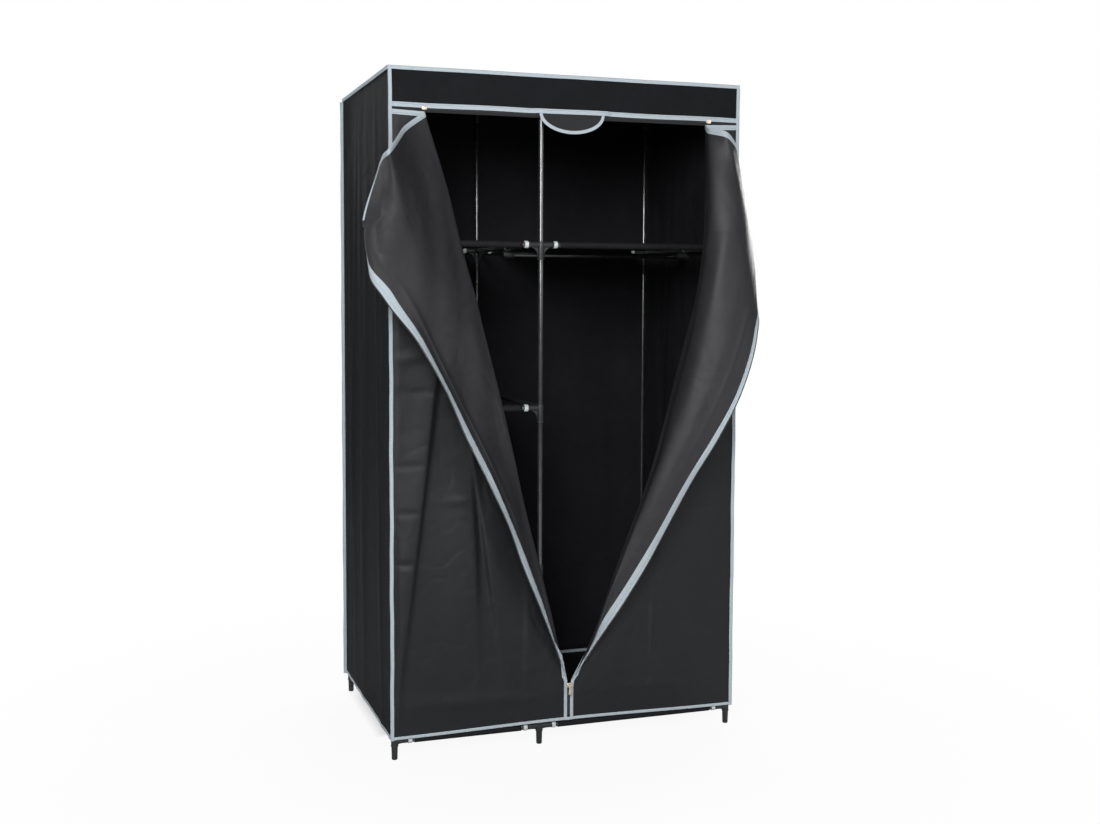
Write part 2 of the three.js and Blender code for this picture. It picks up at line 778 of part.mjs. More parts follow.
// Half-round tab hanging over the middle of the top zip
const tab_back = front_plane - tab_stand_off - fabric_thickness;
const tab_front = tab_back - fabric_thickness;
const tab_outline = [];
for (let k = 0; k <= tab_steps; k++) {
  const turn = Math.PI + (k / tab_steps) * Math.PI;
  tab_outline.push([tab_half_width * Math.cos(turn), header_bottom + tab_drop * Math.sin(turn)]);
}
addSolid(
  "zip_cover_tab",
  join([
    plate(tab_outline, tab_front, tab_back),
    box(-tab_half_width, tab_half_width, tab_front, face_front - seam_gap, header_bottom - seam_gap, header_bottom + tab_root_height),
  ]),
  fabric,
);

// Top sliders, parked at the outer ends of the opening
const slider_back = tape_front - seam_gap;
for (const [side, sign] of [["left", -1], ["right", 1]]) {
  const centre = sign * top_slider_start;
  const middle = (strip_top + header_bottom) / 2;
  const body = box(
    centre - slider_length / 2, centre + slider_length / 2,
    slider_back - slider_thickness, slider_back,
    middle - slider_width / 2, middle + slider_width / 2,
  );
  const nub = box(
    centre - slider_nub_length / 2, centre + slider_nub_length / 2,
    slider_back - slider_thickness - slider_nub_thickness, slider_back - slider_thickness + overlap,
    middle - slider_width / 2, middle + slider_nub_length / 2,
  );
  addSolid("top_slider_" + side, join([body, nub]), brass);
}

// Centre zip: closed chain below the slider, slider and its hinged pull
const slider_top = zip_open_height - centre_slider_gap;
const slider_bottom = slider_top - slider_length;
addSolid(
  "centre_zip_chain",
  box(
    -chain_half_width, chain_half_width, front_plane - chain_thickness / 2, front_plane + chain_thickness / 2,
    hemAt(0), slider_bottom - seam_gap,
  ),
  chain_plastic,
);
const body_back = face_front - seam_gap;
const body_front = body_back - slider_thickness;
const pin_y = body_front - ear_reach / 2;
const pin_z = (slider_top + slider_bottom) / 2;
const eye_radius = pin_radius + pin_clearance + eye_wall;
const ear_gap = pull_width / 2 + eye_side_gap;
const ears = [-1, 1].map((sign) => {
  const [low, high] = span(sign, ear_gap, ear_gap + ear_thickness);
  return box(low, high, body_front - ear_reach, body_front + overlap, pin_z - eye_radius, pin_z + eye_radius);
});
addSolid(
  "centre_slider",
  join([
    box(-slider_width / 2 - ear_thickness, slider_width / 2 + ear_thickness, body_front, body_back, slider_bottom, slider_top),
    box(
      -chain_half_width + seam_gap, chain_half_width - seam_gap,
      body_back - overlap, front_plane - chain_thickness / 2 - seam_gap, slider_bottom, slider_top,
    ),
    ...ears,
    bar("x", -ear_gap - overlap, ear_gap + overlap, [pin_y - ear_reach / 4, pin_z], pin_radius, pin_radius, small_segments),
  ]),
  brass,
);
const eye_y = pin_y - ear_reach / 4;
addSolid(
  "centre_pull",
  join([
    bar("x", -pull_width / 2, pull_width / 2, [eye_y, pin_z], eye_radius, eye_radius, small_segments),
    box(
      -pull_width / 2, pull_width / 2, eye_y - eye_radius, eye_y - eye_radius + pull_thickness,
      pin_z - pull_length, pin_z,
    ),
  ]).subtract(
    bar("x", -pull_width, pull_width, [eye_y, pin_z], pin_radius + pin_clearance, pin_radius + pin_clearance, small_segments),
  ),
  brass,
);

// The origin is the middle of the overall box, on the floor
const bounds = new THREE.Box3().setFromObject(wardrobe);
const middle_point = bounds.getCenter(new THREE.Vector3());
wardrobe.position.set(-middle_point.x, -middle_point.y, -bounds.min.z);

export default wardrobe;
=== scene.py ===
"""Portable fabric wardrobe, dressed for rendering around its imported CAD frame.

A push-fit tube frame with moulded connectors stands on six feet inside a
bound fabric cover. The two door halves are unzipped and folded outward.
Lengths are metres. Shapes are worked out in the cover's own frame: x from the
middle of the front, y from the middle of the depth, z from the floor.
"""

import logging
import math
from dataclasses import dataclass, field
from enum import Enum
from typing import Iterable, Optional, Sequence

import bmesh
import bpy
import numpy as np
from mathutils import Matrix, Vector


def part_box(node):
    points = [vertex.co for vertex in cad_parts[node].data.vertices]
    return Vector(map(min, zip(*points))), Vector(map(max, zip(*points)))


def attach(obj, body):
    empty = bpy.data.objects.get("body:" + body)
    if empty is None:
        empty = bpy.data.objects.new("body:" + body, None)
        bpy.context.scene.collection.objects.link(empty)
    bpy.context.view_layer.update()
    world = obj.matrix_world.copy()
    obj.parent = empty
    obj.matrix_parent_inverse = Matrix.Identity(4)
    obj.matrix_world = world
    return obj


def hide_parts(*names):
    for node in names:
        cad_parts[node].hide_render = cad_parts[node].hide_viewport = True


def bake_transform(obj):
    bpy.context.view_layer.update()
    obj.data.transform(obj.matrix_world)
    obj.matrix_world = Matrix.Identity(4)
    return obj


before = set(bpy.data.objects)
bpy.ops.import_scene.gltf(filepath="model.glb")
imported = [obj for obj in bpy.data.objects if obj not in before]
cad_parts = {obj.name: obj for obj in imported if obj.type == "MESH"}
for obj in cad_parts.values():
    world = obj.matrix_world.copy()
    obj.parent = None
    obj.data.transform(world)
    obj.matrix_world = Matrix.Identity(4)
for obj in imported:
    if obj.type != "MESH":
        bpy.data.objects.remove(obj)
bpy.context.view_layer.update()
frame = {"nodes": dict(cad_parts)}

log = logging.getLogger("wardrobe")

Array = np.ndarray
Colour = tuple[float, float, float]
Noise = tuple[float, float, float]  # spots to the metre, detail, roughness

TAU = 2.0 * math.pi
QUARTER = math.pi / 2
ROUND_SIDES = 28
TAPE_COLUMNS = 5
LOOP_STEP = 0.0013  # half the pitch of the zip's loops
LOOP_SIDES = 6


class Side(Enum):
    """The two halves of the front, seen from the front."""

    LEFT = -1
    RIGHT = 1

    @property
    def word(self) -> str:
        """Return the side's name as the CAD nodes spell it."""
        return self.name.lower()


class Hold(Enum):
    """How a sheet of cloth is held."""

    HUNG = "hung"
    STRETCHED = "stretched"


def cover_centre() -> Array:
    """Return the middle of the cover on the floor, in the row frame."""
    low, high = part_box("roof_panel")
    return np.array([(low.x + high.x) / 2, (low.y + high.y) / 2, 0.0])


ORIGIN: Array = cover_centre()


# Numbers along curves


def ease(value: Array) -> Array:
    """Return 0 below 0, 1 above 1 and the smooth cubic 3t^2 - 2t^3 between."""
    t = np.clip(value, 0.0, 1.0)
    return t * t * (3.0 - 2.0 * t)


def bell(value: Array, centre: float, width: float) -> Array:
    """Return exp(-((value - centre) / width)^2), a bump of height 1."""
    return np.exp(-(((value - centre) / width) ** 2))


def unit(vectors: Array) -> Array:
    """Return the vectors with length 1, zero ones left as they are."""
    size = np.linalg.norm(vectors, axis=-1, keepdims=True)
    return vectors / np.maximum(size, 1e-9)


def along(points: Array) -> Array:
    """Return the distance walked along a chain of points to each of them."""
    steps = np.linalg.norm(np.diff(points, axis=0), axis=1)
    return np.concatenate([[0.0], np.cumsum(steps)])


def across(points: Array) -> Array:
    """Return the distance walked along each row of a grid of points."""
    steps = np.linalg.norm(np.diff(points, axis=1), axis=2)
    return np.concatenate([np.zeros((len(points), 1)), np.cumsum(steps, 1)], 1)


def spread(*parts: Array) -> Array:
    """Return points or texture places from arrays that broadcast together."""
    return np.stack(np.broadcast_arrays(*parts), -1)


def spline_weights(place: Array, count: int) -> Array:
    """Work out how much each of a row of samples counts at given places.

    The curve is Catmull-Rom: through every sample, with the slope at each one
    that of the line between its neighbours, and straight on past both ends.

    Args:
        place: Places from 0, the first sample, to 1, the last.
        count: Number of samples.

    Returns:
        Array of len(place) by count weights.
    """
    t = np.clip(place, 0.0, 1.0) * (count - 1)
    k = np.minimum(t.astype(int), count - 2)
    f = t - k
    parts = (
        (-f + 2 * f**2 - f**3) / 2,
        1 - 2.5 * f**2 + 1.5 * f**3,
        (f + 4 * f**2 - 3 * f**3) / 2,
        (-(f**2) + f**3) / 2,
    )
    weights = np.zeros((len(t), count + 2))
    for step, part in enumerate(parts):
        np.add.at(weights, (np.arange(len(t)), k + step), part)
    inner = weights[:, 1:-1]
    inner[:, 0] += 2 * weights[:, 0]
    inner[:, 1] -= weights[:, 0]
    inner[:, -1] += 2 * weights[:, -1]
    inner[:, -2] -= weights[:, -1]
    return inner


def strip(start: Sequence, end: Sequence, width: Sequence, rows: int) -> Array:
    """Return the flat strip start + (end - start) * s + width * t.

    Args:
        start: The first corner.
        end: Where the strip's first edge ends.
        width: Vector across the strip.
        rows: Number of steps along it.

    Returns:
        Array of rows by TAPE_COLUMNS by 3.
    """
    s = np.linspace(0, 1, rows)[:, None, None]
    t = np.linspace(0, 1, TAPE_COLUMNS)[None, :, None]
    a, b, w = (np.asarray(v, float) for v in (start, end, width))
    return a + (b - a) * s + w * t


AXES: dict[str, Array] = {
    "x": np.array([[0, 1, 0], [0, 0, 1], [1, 0, 0]], float),
    "y": np.array([[0, 0, 1], [1, 0, 0], [0, 1, 0]], float),
    "z": np.array([[1, 0, 0], [0, 1, 0], [0, 0, 1]], float),
}


# Meshes


@dataclass
class Shell:
    """Surfaces collected into one mesh.

    Attributes:
        name: The finished object's name.
        points: Vertex arrays, one for each surface.
        uvs: Texture places in metres, one array for each surface.
        quads: Arrays of four vertex numbers.
        tints: Material numbers of the quads.
        caps: Vertex numbers of each flat end.
        cap_tints: Material numbers of the ends.
        count: Number of vertices so far.
    """

    name: str
    points: list[Array] = field(default_factory=list)
    uvs: list[Array] = field(default_factory=list)
    quads: list[Array] = field(default_factory=list)
    tints: list[Array] = field(default_factory=list)
    caps: list[list[int]] = field(default_factory=list)
    cap_tints: list[int] = field(default_factory=list)
    count: int = 0

    def grid(
        self, points: Array, uv: Optional[Array] = None, around: bool = False,
        ends: bool = False, tint: int = 0,
    ) -> "Shell":
        """Add a surface whose point (i, j) joins (i + 1, j) and (i, j + 1).

        Args:
            points: Array of rows by columns by 3.
            uv: Array of rows by columns by 2, or none for zeros.
            around: Whether the last column joins the first again.
            ends: Whether flat faces close the first and last rows.
            tint: Number of the material in the list given to build.

        Returns:
            The shell itself.
        """
        rows, cols = points.shape[:2]
        index = np.arange(rows * cols).reshape(rows, cols) + self.count
        if around:
            index = np.hstack([index, index[:, :1]])
        first, second = index[:-1], index[1:]
        corners = (first[:, :-1], first[:, 1:], second[:, 1:], second[:, :-1])
        quads = np.stack(corners, axis=-1).reshape(-1, 4)
        self.quads.append(quads)
        self.tints.append(np.full(len(quads), tint))
        if ends:
            self.caps.append(index[0, :cols][::-1].tolist())
            self.caps.append(index[-1, :cols].tolist())
            self.cap_tints += [tint, tint]
        self.points.append(points.reshape(-1, 3))
        flat = np.zeros((rows, cols, 2)) if uv is None else uv
        self.uvs.append(flat.reshape(-1, 2))
        self.count += rows * cols
        return self

    def turn(
        self, profile: Sequence, axis: str, centre: Sequence,
        sides: int = ROUND_SIDES, tint: int = 0,
    ) -> None:
        """Turn a profile about an axis.

        Point (i, j) lies at profile[i], turned by j parts of a full turn round
        the line of that axis through centre.

        Args:
            profile: Pairs of radius and distance along the axis.
            axis: Letter of the axis.
            centre: A point on the axis.
            sides: Number of steps round.
            tint: Number of the material.
        """
        table = np.asarray(profile, float)[:, :, None, None]
        angle = np.arange(sides)[:, None] / sides * TAU
        right, up, ahead = AXES[axis]
        ring = np.cos(angle) * right + np.sin(angle) * up
        points = table[:, 0] * ring[None] + table[:, 1] * ahead
        self.grid(points + np.asarray(centre, float), around=True, ends=True,
                  tint=tint)

    def bar(
        self, axis: str, centre: Sequence, radius: float, start: float,
        end: float, edge: float, sides: int = ROUND_SIDES, tint: int = 0,
    ) -> None:
        """Add a round bar whose rims are quarter circles.

        Args:
            axis: Letter of the axis.
            centre: A point on the axis.
            radius: The bar's radius.
            start: Where it starts on the axis.
            end: Where it ends on the axis.
            edge: Radius of the rims.
            sides: Number of steps round.
            tint: Number of the material.
        """
        turn = np.linspace(0, QUARTER, 5)
        step = math.copysign(edge, end - start)
        rise = radius - edge + edge * np.sin(turn)
        first = start + step * (1 - np.cos(turn))
        last = end - step * (1 - np.cos(turn))
        profile = np.vstack([np.stack([rise, first], 1),
                             np.stack([rise, last], 1)[::-1]])
        self.turn(profile, axis, centre, sides, tint)

    def tape(
        self, surface: Array, normal: Sequence, half: float, tint: int = 0,
        ends: bool = True,
    ) -> "Shell":
        """Add a strip with a body, as bound tape has, thinner at both edges.

        Each ring runs over the strip at surface + half * normal and back below
        it at surface - half * normal. Texture places run across and along.

        Args:
            surface: Array of rows by columns by 3, its columns across.
            normal: Unit normals that broadcast to the surface.
            half: Half the tape's thickness.
            tint: Number of the material.
            ends: Whether flat faces close both ends.

        Returns:
            The shell itself.
        """
        cols = surface.shape[1]
        taper = np.ones(cols)
        taper[[0, -1]] = 0.55
        offset = np.asarray(normal, float) * half * taper[None, :, None]
        below = (surface - offset)[:, ::-1]
        rings = np.concatenate([surface + offset, below], 1)
        width = across(surface)
        wide = np.concatenate([width, width[:, ::-1]], 1)
        uv = spread(wide, along(surface[:, cols // 2])[:, None])
        return self.grid(rings, uv, around=True, ends=ends, tint=tint)

    def loops(
        self, path: Array, out: Array, normal: Array, thin: float,
        tint: int = 0,
    ) -> None:
        """Add zip loops: a cord that swells by half on every second ring.

        Args:
            path: The cord's middle, one point for each ring.
            out: Unit vectors across the path that broadcast to the rings.
            normal: Unit vectors across both.
            thin: Radius of the thinner rings.
            tint: Number of the material.
        """
        radius = thin * (1 + 0.5 * (np.arange(len(path)) % 2))
        angle = (np.arange(LOOP_SIDES) / LOOP_SIDES * TAU)[None, :, None]
        ring = np.cos(angle) * out + np.sin(angle) * normal
        self.grid(path[:, None] + radius[:, None, None] * ring, around=True,
                  ends=True, tint=tint)

    def build(
        self, finishes: Sequence[bpy.types.Material], closed: bool = True,
        weld: float = 0.0,
    ) -> bpy.types.Object:
        """Make the object, with its place in its mesh.

        Args:
            finishes: Materials in the order of the tints.
            closed: Whether the surfaces are bodies whose faces turn outward.
            weld: Distance under which points are merged, or zero.

        Returns:
            The linked object.
        """
        mesh = bpy.data.meshes.new(self.name)
        faces = np.vstack(self.quads).tolist() + self.caps
        mesh.from_pydata(np.vstack(self.points) + ORIGIN, [], faces)
        tints = np.concatenate([*self.tints, np.array(self.cap_tints, int)])
        mesh.polygons.foreach_set("material_index", tints.astype(np.int32))
        corners = np.zeros(len(mesh.loops), np.int32)
        mesh.loops.foreach_get("vertex_index", corners)
        layer = mesh.uv_layers.new(name="flat")
        layer.uv.foreach_set("vector", np.vstack(self.uvs)[corners].ravel())
        if closed or weld:
            work = bmesh.new()
            work.from_mesh(mesh)
            if weld:
                bmesh.ops.remove_doubles(work, verts=work.verts, dist=weld)
            if closed:
                bmesh.ops.recalc_face_normals(work, faces=work.faces)
            work.to_mesh(mesh)
            work.free()
        mesh.shade_smooth()
        mesh.set_sharp_from_angle(angle=math.radians(40.0))
        for finish in finishes:
            mesh.materials.append(finish)
        piece = bpy.data.objects.new(self.name, mesh)
        bpy.context.scene.collection.objects.link(piece)
        log.info("%s: %d faces", self.name, len(mesh.polygons))
        return piece


def settle(
    piece: bpy.types.Object, nodes: Iterable[str] = (),
    body: str = "wardrobe",
) -> bpy.types.Object:
    """Let a piece ride on a body and stand for nodes.

    Args:
        piece: The finished object.
        nodes: CAD nodes that the piece stands for.
        body: The CAD body that carries it.

    Returns:
        The same object.
    """
    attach(piece, body)
    if nodes:
        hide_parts(*nodes)
    return piece


def sheet_piece(
    name: str, points: Array, uv: Array, faces: Sequence[bpy.types.Material],
    thickness: float, weld: float = 0.0, skirt: Optional[tuple] = None,
) -> bpy.types.Object:
    """Build a sheet of cloth that is thickened half to each side.

    A sheet built with two materials shows the second one on its other face.

    Args:
        name: The object's name.
        points: Array of rows by columns by 3.
        uv: Places on the flat cloth.
        faces: Materials of the front and the other face.
        thickness: The cloth's thickness.
        weld: Distance under which points are merged, or zero.
        skirt: Points and places of a second surface, or none.

    Returns:
        The linked object.
    """
    shell = Shell(name).grid(points, uv)
    if skirt is not None:
        shell.grid(*skirt)
    piece = shell.build(faces, closed=False, weld=weld)
    wall = piece.modifiers.new("cloth", "SOLIDIFY")
    wall.material_offset = len(faces) - 1
    wall.thickness = thickness
    wall.offset = 0.0
    wall.use_even_offset = False
    return piece


# Finishes


class Recipe:
    """A material under construction: its nodes and its main shader."""

    def __init__(self, name: str) -> None:
        """Start a material called name with one Principled shader."""
        self.material = bpy.data.materials.new(name)
        self.material.use_nodes = True
        tree = self.material.node_tree
        self.nodes, self.links = tree.nodes, tree.links
        self.shader = self.nodes["Principled BSDF"]

    def set(self, **values: object) -> bpy.types.Material:
        """Set shader sockets.

        Args:
            values: Values by socket name, with underscores for spaces.

        Returns:
            The material.
        """
        for key, value in values.items():
            self.shader.inputs[key.replace("_", " ")].default_value = value
        return self.material

    def add(
        self, kind: str, inputs: dict, **settings: object
    ) -> bpy.types.Node:
        """Add a node.

        Args:
            kind: The node's type without its ShaderNode prefix.
            inputs: Numbers or output sockets by the input's name or number.
            settings: Properties by name.

        Returns:
            The node.
        """
        node = self.nodes.new("ShaderNode" + kind)
        for key, value in settings.items():
            setattr(node, key, value)
        for key, value in inputs.items():
            if isinstance(value, bpy.types.NodeSocket):
                self.links.new(value, node.inputs[key])
            else:
                node.inputs[key].default_value = value
        return node

    def send(self, value: object, socket: str) -> None:
        """Join an output socket to one of the shader's sockets."""
        self.links.new(value, self.shader.inputs[socket])

    def math(self, how: str, a: object, b: object = 0.0) -> object:
        """Return the output of a Math node for two numbers or sockets."""
        return self.add("Math", {0: a, 1: b}, operation=how).outputs[0]

    def place(self, kind: str) -> object:
        """Return where a point is: UV on its flat cloth, or Object."""
        return self.add("TexCoord", {}).outputs[kind]

    def noise(self, place: object, kind: Noise) -> object:
        """Add a noise.

        Args:
            place: Output socket of the places.
            kind: Spots to the metre, detail and roughness.

        Returns:
            Output socket of its value.
        """
        scale, detail, rough = kind
        return self.add("TexNoise", {
            "Vector": place, "Scale": scale, "Detail": detail,
            "Roughness": rough}).outputs["Fac"]

    def tone(
        self, value: object, colour: Colour, low: float, high: float
    ) -> object:
        """Let a value move a colour, between 0.3 and 0.7.

        Args:
            value: Output socket of the value.
            colour: Mean linear colour.
            low: Factor of the colour at and below 0.3.
            high: Factor of the colour at and above 0.7.

        Returns:
            Output socket of the colour.
        """
        node = self.add("ValToRGB", {"Fac": value})
        for end, factor, at in zip(node.color_ramp.elements, (low, high),
                                   (0.3, 0.7)):
            end.position = at
            end.color = (*(min(1.0, part * factor) for part in colour), 1)
        return node.outputs["Color"]

    def gloss(self, value: object, low: float, high: float) -> None:
        """Let a value from 0 to 1 move the roughness from low to high."""
        node = self.add("MapRange", {0: value, 3: low, 4: high})
        self.send(node.outputs[0], "Roughness")

    def skin(self, *layers: tuple[object, float]) -> None:
        """Lay bumps over each other and send them to the shader.

        Args:
            layers: Output socket of the height and depth in metres of each.
        """
        under: dict = {}
        for height, depth in layers:
            node = self.add("Bump", {"Strength": 1.0, "Distance": depth,
                                     "Height": height, **under})
            under = {"Normal": node.outputs["Normal"]}
        self.send(under["Normal"], "Normal")


@dataclass(frozen=True)
class NonWoven:
    """Spun-bonded cover cloth: thermal bond points, fibre haze, soft creases.

    Attributes:
        name: The material's name.
        colour: Mean linear colour.
        roughness: Mean roughness.
        gloss: Specular level.
        pitch: Distance between bond points.
        crumple: Depth of the soft creases.
    """

    name: str
    colour: Colour
    roughness: float = 0.45
    gloss: float = 0.34
    pitch: float = 0.0024
    crumple: float = 0.0018

    def make(self) -> bpy.types.Material:
        """Make the cloth, its bond points a raster of sin(u) * sin(v).

        Returns:
            The material.
        """
        r = Recipe(self.name)
        place = r.place("UV")
        split = r.add("SeparateXYZ", {0: place}).outputs
        turn = TAU / self.pitch
        pits = r.math("MULTIPLY", *(
            r.math("SINE", r.math("MULTIPLY", split[side], turn))
            for side in (0, 1)))
        fibres = r.noise(place, (1400.0, 4.0, 0.7))
        patches = r.noise(place, (9.0, 3.0, 0.55))
        wear = r.noise(place, (55.0, 3.0, 0.6))
        mixed = r.math("ADD", r.math("MULTIPLY", patches, 0.6),
                       r.math("MULTIPLY", wear, 0.4))
        r.send(r.tone(mixed, self.colour, 0.86, 1.16), "Base Color")
        r.gloss(fibres, self.roughness - 0.05, self.roughness + 0.08)
        warp = r.add("TexNoise", {
            "Vector": place, "Scale": 5.0, "Detail": 2.0}).outputs["Color"]
        bent = r.add("VectorMath", {0: warp, 1: (0.35,) * 3, 2: place},
                     operation="MULTIPLY_ADD").outputs[0]
        creases = r.add("TexVoronoi", {"Vector": bent, "Scale": 7.0},
                        feature="DISTANCE_TO_EDGE")
        folds = r.math("MINIMUM", creases.outputs["Distance"], 0.14)
        height = r.math("ADD", r.math("MULTIPLY", folds, 2.2),
                        r.noise(place, (16.0, 2.0, 0.5)))
        r.skin((height, self.crumple), (pits, 0.00010), (fibres, 0.00012))
        return r.set(Specular_IOR_Level=self.gloss)


@dataclass(frozen=True)
class BoundTape:
    """Woven binding tape with a row of lock stitches near one edge.

    Attributes:
        name: The material's name.
        colour: Linear colour of the yarn.
        thread: Linear colour of the stitches.
        stitch_at: Distance of the stitches from the tape's outer edge.
    """

    name: str
    colour: Colour
    thread: Colour
    stitch_at: float = 0.0075

    def make(self) -> bpy.types.Material:
        """Make the tape.

        Ribs cross it as sin(v); a stitch shows where v's fraction of 3.2 mm
        lies under 0.72 and u lies within 0.45 mm of the stitch row.

        Returns:
            The material.
        """
        r = Recipe(self.name)
        place = r.place("UV")
        u, v = r.add("SeparateXYZ", {0: place}).outputs[:2]
        ribs = r.math("SINE", r.math("MULTIPLY", v, TAU / 0.0009))
        off = r.math("ABSOLUTE", r.math("SUBTRACT", u, self.stitch_at))
        step = r.math("FRACT", r.math("DIVIDE", v, 0.0032))
        stitch = r.math("MULTIPLY", r.math("LESS_THAN", off, 0.00045),
                        r.math("LESS_THAN", step, 0.72))
        yarn = r.noise(place, (260.0, 3.0, 0.6))
        weave = r.tone(yarn, self.colour, 0.88, 1.08)
        mix = r.add("Mix", {0: stitch, 6: weave, 7: (*self.thread, 1)},
                    data_type="RGBA")
        r.send(mix.outputs[2], "Base Color")
        r.skin((ribs, 0.00012), (stitch, 0.0003))
        return r.set(Roughness=0.8, Sheen_Weight=0.1, Specular_IOR_Level=0.3)


@dataclass(frozen=True)
class HardSkin:
    """Lacquer, plastic or metal: noise moves its colour, gloss and skin.

    Attributes:
        shades: Factors of the mean colour, from and to.
        gleams: Roughness, from and to.
        mottle: Noise of the colour.
        gleam: Noise of the roughness.
        grain: Noise of the skin.
        depth: Depth of the skin.
        extra: Other shader sockets by name.
    """

    shades: tuple[float, float]
    gleams: tuple[float, float]
    mottle: Noise
    gleam: Noise
    grain: Noise
    depth: float
    extra: dict[str, float]

    def make(
        self, name: str, colour: Colour, roughness: float
    ) -> bpy.types.Material:
        """Make a material with this skin.

        Args:
            name: Its name.
            colour: Its mean linear colour.
            roughness: Its roughness, to which the gleams are added.

        Returns:
            The material.
        """
        r = Recipe(name)
        place = r.place("Object")
        mottle = r.noise(place, self.mottle)
        r.send(r.tone(mottle, colour, *self.shades), "Base Color")
        r.gloss(r.noise(place, self.gleam),
                *(roughness + part for part in self.gleams))
        r.skin((r.noise(place, self.grain), self.depth))
        return r.set(**self.extra)


LACQUER = HardSkin(
    shades=(0.8, 1.15), gleams=(0.0, 0.05), mottle=(45.0, 3.0, 0.6),
    gleam=(420.0, 3.0, 0.6), grain=(45.0, 3.0, 0.6), depth=0.00002,
    extra={"Metallic": 0.75, "Coat_Weight": 0.35, "Coat_Roughness": 0.12})
PLASTIC = HardSkin(
    shades=(0.85, 1.2), gleams=(-0.06, 0.1), mottle=(60.0, 3.0, 0.5),
    gleam=(60.0, 3.0, 0.5), grain=(1500.0, 2.0, 0.6), depth=0.00006,
    extra={"Specular_IOR_Level": 0.5})
METAL = HardSkin(
    shades=(0.82, 1.1), gleams=(0.0, 0.16), mottle=(700.0, 3.0, 0.6),
    gleam=(700.0, 3.0, 0.6), grain=(700.0, 3.0, 0.6), depth=0.00004,
    extra={"Metallic": 0.95})


@dataclass(frozen=True)
class Finishes:
    """Every material of the wardrobe, made once."""

    cover: bpy.types.Material
    wall: bpy.types.Material
    lining_painted_light: bpy.types.Material
    facing: bpy.types.Material
    shelf: bpy.types.Material
    tape: bpy.types.Material
    zip_tape: bpy.types.Material
    coil: bpy.types.Material
    tube: bpy.types.Material
    plastic: bpy.types.Material
    collar: bpy.types.Material
    brass: bpy.types.Material

    @classmethod
    def make(cls) -> "Finishes":
        """Make every material, with colours in linear light.

        Returns:
            The finishes.
        """
        cloths = {
            "cover": ("cover cloth", (0.0105, 0.0112, 0.0128)),
            "wall": ("wall cloth", (0.0120, 0.0127, 0.0143), 0.62, 0.04),
            # The walls' inside faces get a colour of their own, set for how
            # light the inside of the wardrobe looks: painted light, not a
            # different cloth.
            "lining_painted_light": ("cover cloth inside", (0.0150, 0.0150, 0.0175), 0.8,
                       0.05),
            # The doors' inside face, which the folded-out flaps show, is about
            # three times as light as the cover: partly the cloth's paler inner
            # face, partly painted light and sheen on the flaps.
            "facing": ("door cloth inside", (0.030, 0.030, 0.033)),
            "shelf": ("shelf cloth", (0.009, 0.009, 0.0105), 0.7, 0.2),
        }
        return cls(
            **{key: NonWoven(*look).make() for key, look in cloths.items()},
            tape=BoundTape("grey binding", (0.50, 0.575, 0.625),
                           (0.34, 0.37, 0.38)).make(),
            zip_tape=BoundTape("black zip tape", (0.02, 0.02, 0.022),
                               (0.03, 0.03, 0.032), 0.006).make(),
            coil=PLASTIC.make("zip coil", (0.035, 0.037, 0.04), 0.35),
            tube=LACQUER.make("dark tube lacquer", (0.10, 0.103, 0.106), 0.2),
            plastic=PLASTIC.make("black connector", (0.018, 0.02, 0.021),
                                 0.42),
            collar=PLASTIC.make("pale collar", (0.55, 0.6, 0.58), 0.38),
            brass=METAL.make("zip brass", (0.95, 0.79, 0.66), 0.30),
        )


# Flap shapes: rows run down the fold, columns from the fold to the zipped
# edge, each place (outward, forward, height) in thousandths of half the width,
# of the depth and of the top.

LEFT_FLAP_SHARES = (
    ((807, 1.7, 937), (890, 46, 922), (954, 108, 909), (997, 182, 897),
     (1039, 255, 885), (1091, 320, 870), (1092, 234, 866), (1087, 151, 857)),
    ((695, 1.7, 840), (761, 50, 828), (822, 101, 816), (877, 155, 805),
     (932, 209, 793), (1001, 254, 779), (1100, 242, 769), (1189, 187, 763)),
    ((615, 1.7, 755), (669, 47, 745), (724, 89, 735), (783, 128, 724),
     (844, 165, 713), (914, 193, 702), (1003, 206, 691), (1099, 203, 682)),
    ((531, 1.7, 675), (583, 38, 666), (636, 70, 657), (692, 99, 648),
     (751, 124, 638), (809, 148, 629), (865, 179, 620), (914, 218, 613)),
    ((459, 1.7, 598), (505, 31, 590), (553, 56, 582), (603, 79, 574),
     (653, 101, 566), (700, 128, 558), (739, 163, 551), (769, 204, 546)),
    ((387, 1.7, 523), (429, 24, 516), (469, 46, 510), (510, 68, 503),
     (548, 92, 496), (585, 118, 490), (618, 147, 484), (651, 178, 479)),
    ((322, 1.7, 449), (358, 19, 444), (390, 39, 438), (420, 62, 433),
     (448, 85, 428), (475, 110, 423), (501, 135, 418), (528, 161, 414)),
    ((261, 1.7, 376), (293, 17, 372), (316, 35, 368), (335, 56, 363),
     (354, 78, 360), (374, 99, 356), (393, 121, 352), (411, 143, 349)),
    ((197, 1.7, 305), (218, 17, 302), (235, 31, 298), (250, 47, 295),
     (264, 64, 292), (279, 80, 290), (295, 96, 287), (313, 110, 284)),
    ((132, 1.7, 234), (145, 17, 232), (158, 25, 230), (170, 35, 228),
     (179, 46, 226), (187, 58, 224), (197, 69, 222), (207, 80, 220)),
    ((64, 1.7, 164), (79, 17, 163), (89, 17, 162), (96, 20, 160),
     (98, 26, 160), (100, 33, 159), (103, 39, 158), (106, 45, 157)),
    ((11, 1.7, 95), (11, 1.7, 95), (11, 1.7, 95), (11, 1.7, 95),
     (11, 1.7, 95), (11, 1.7, 95), (11, 1.7, 95), (11, 1.7, 95)),
)
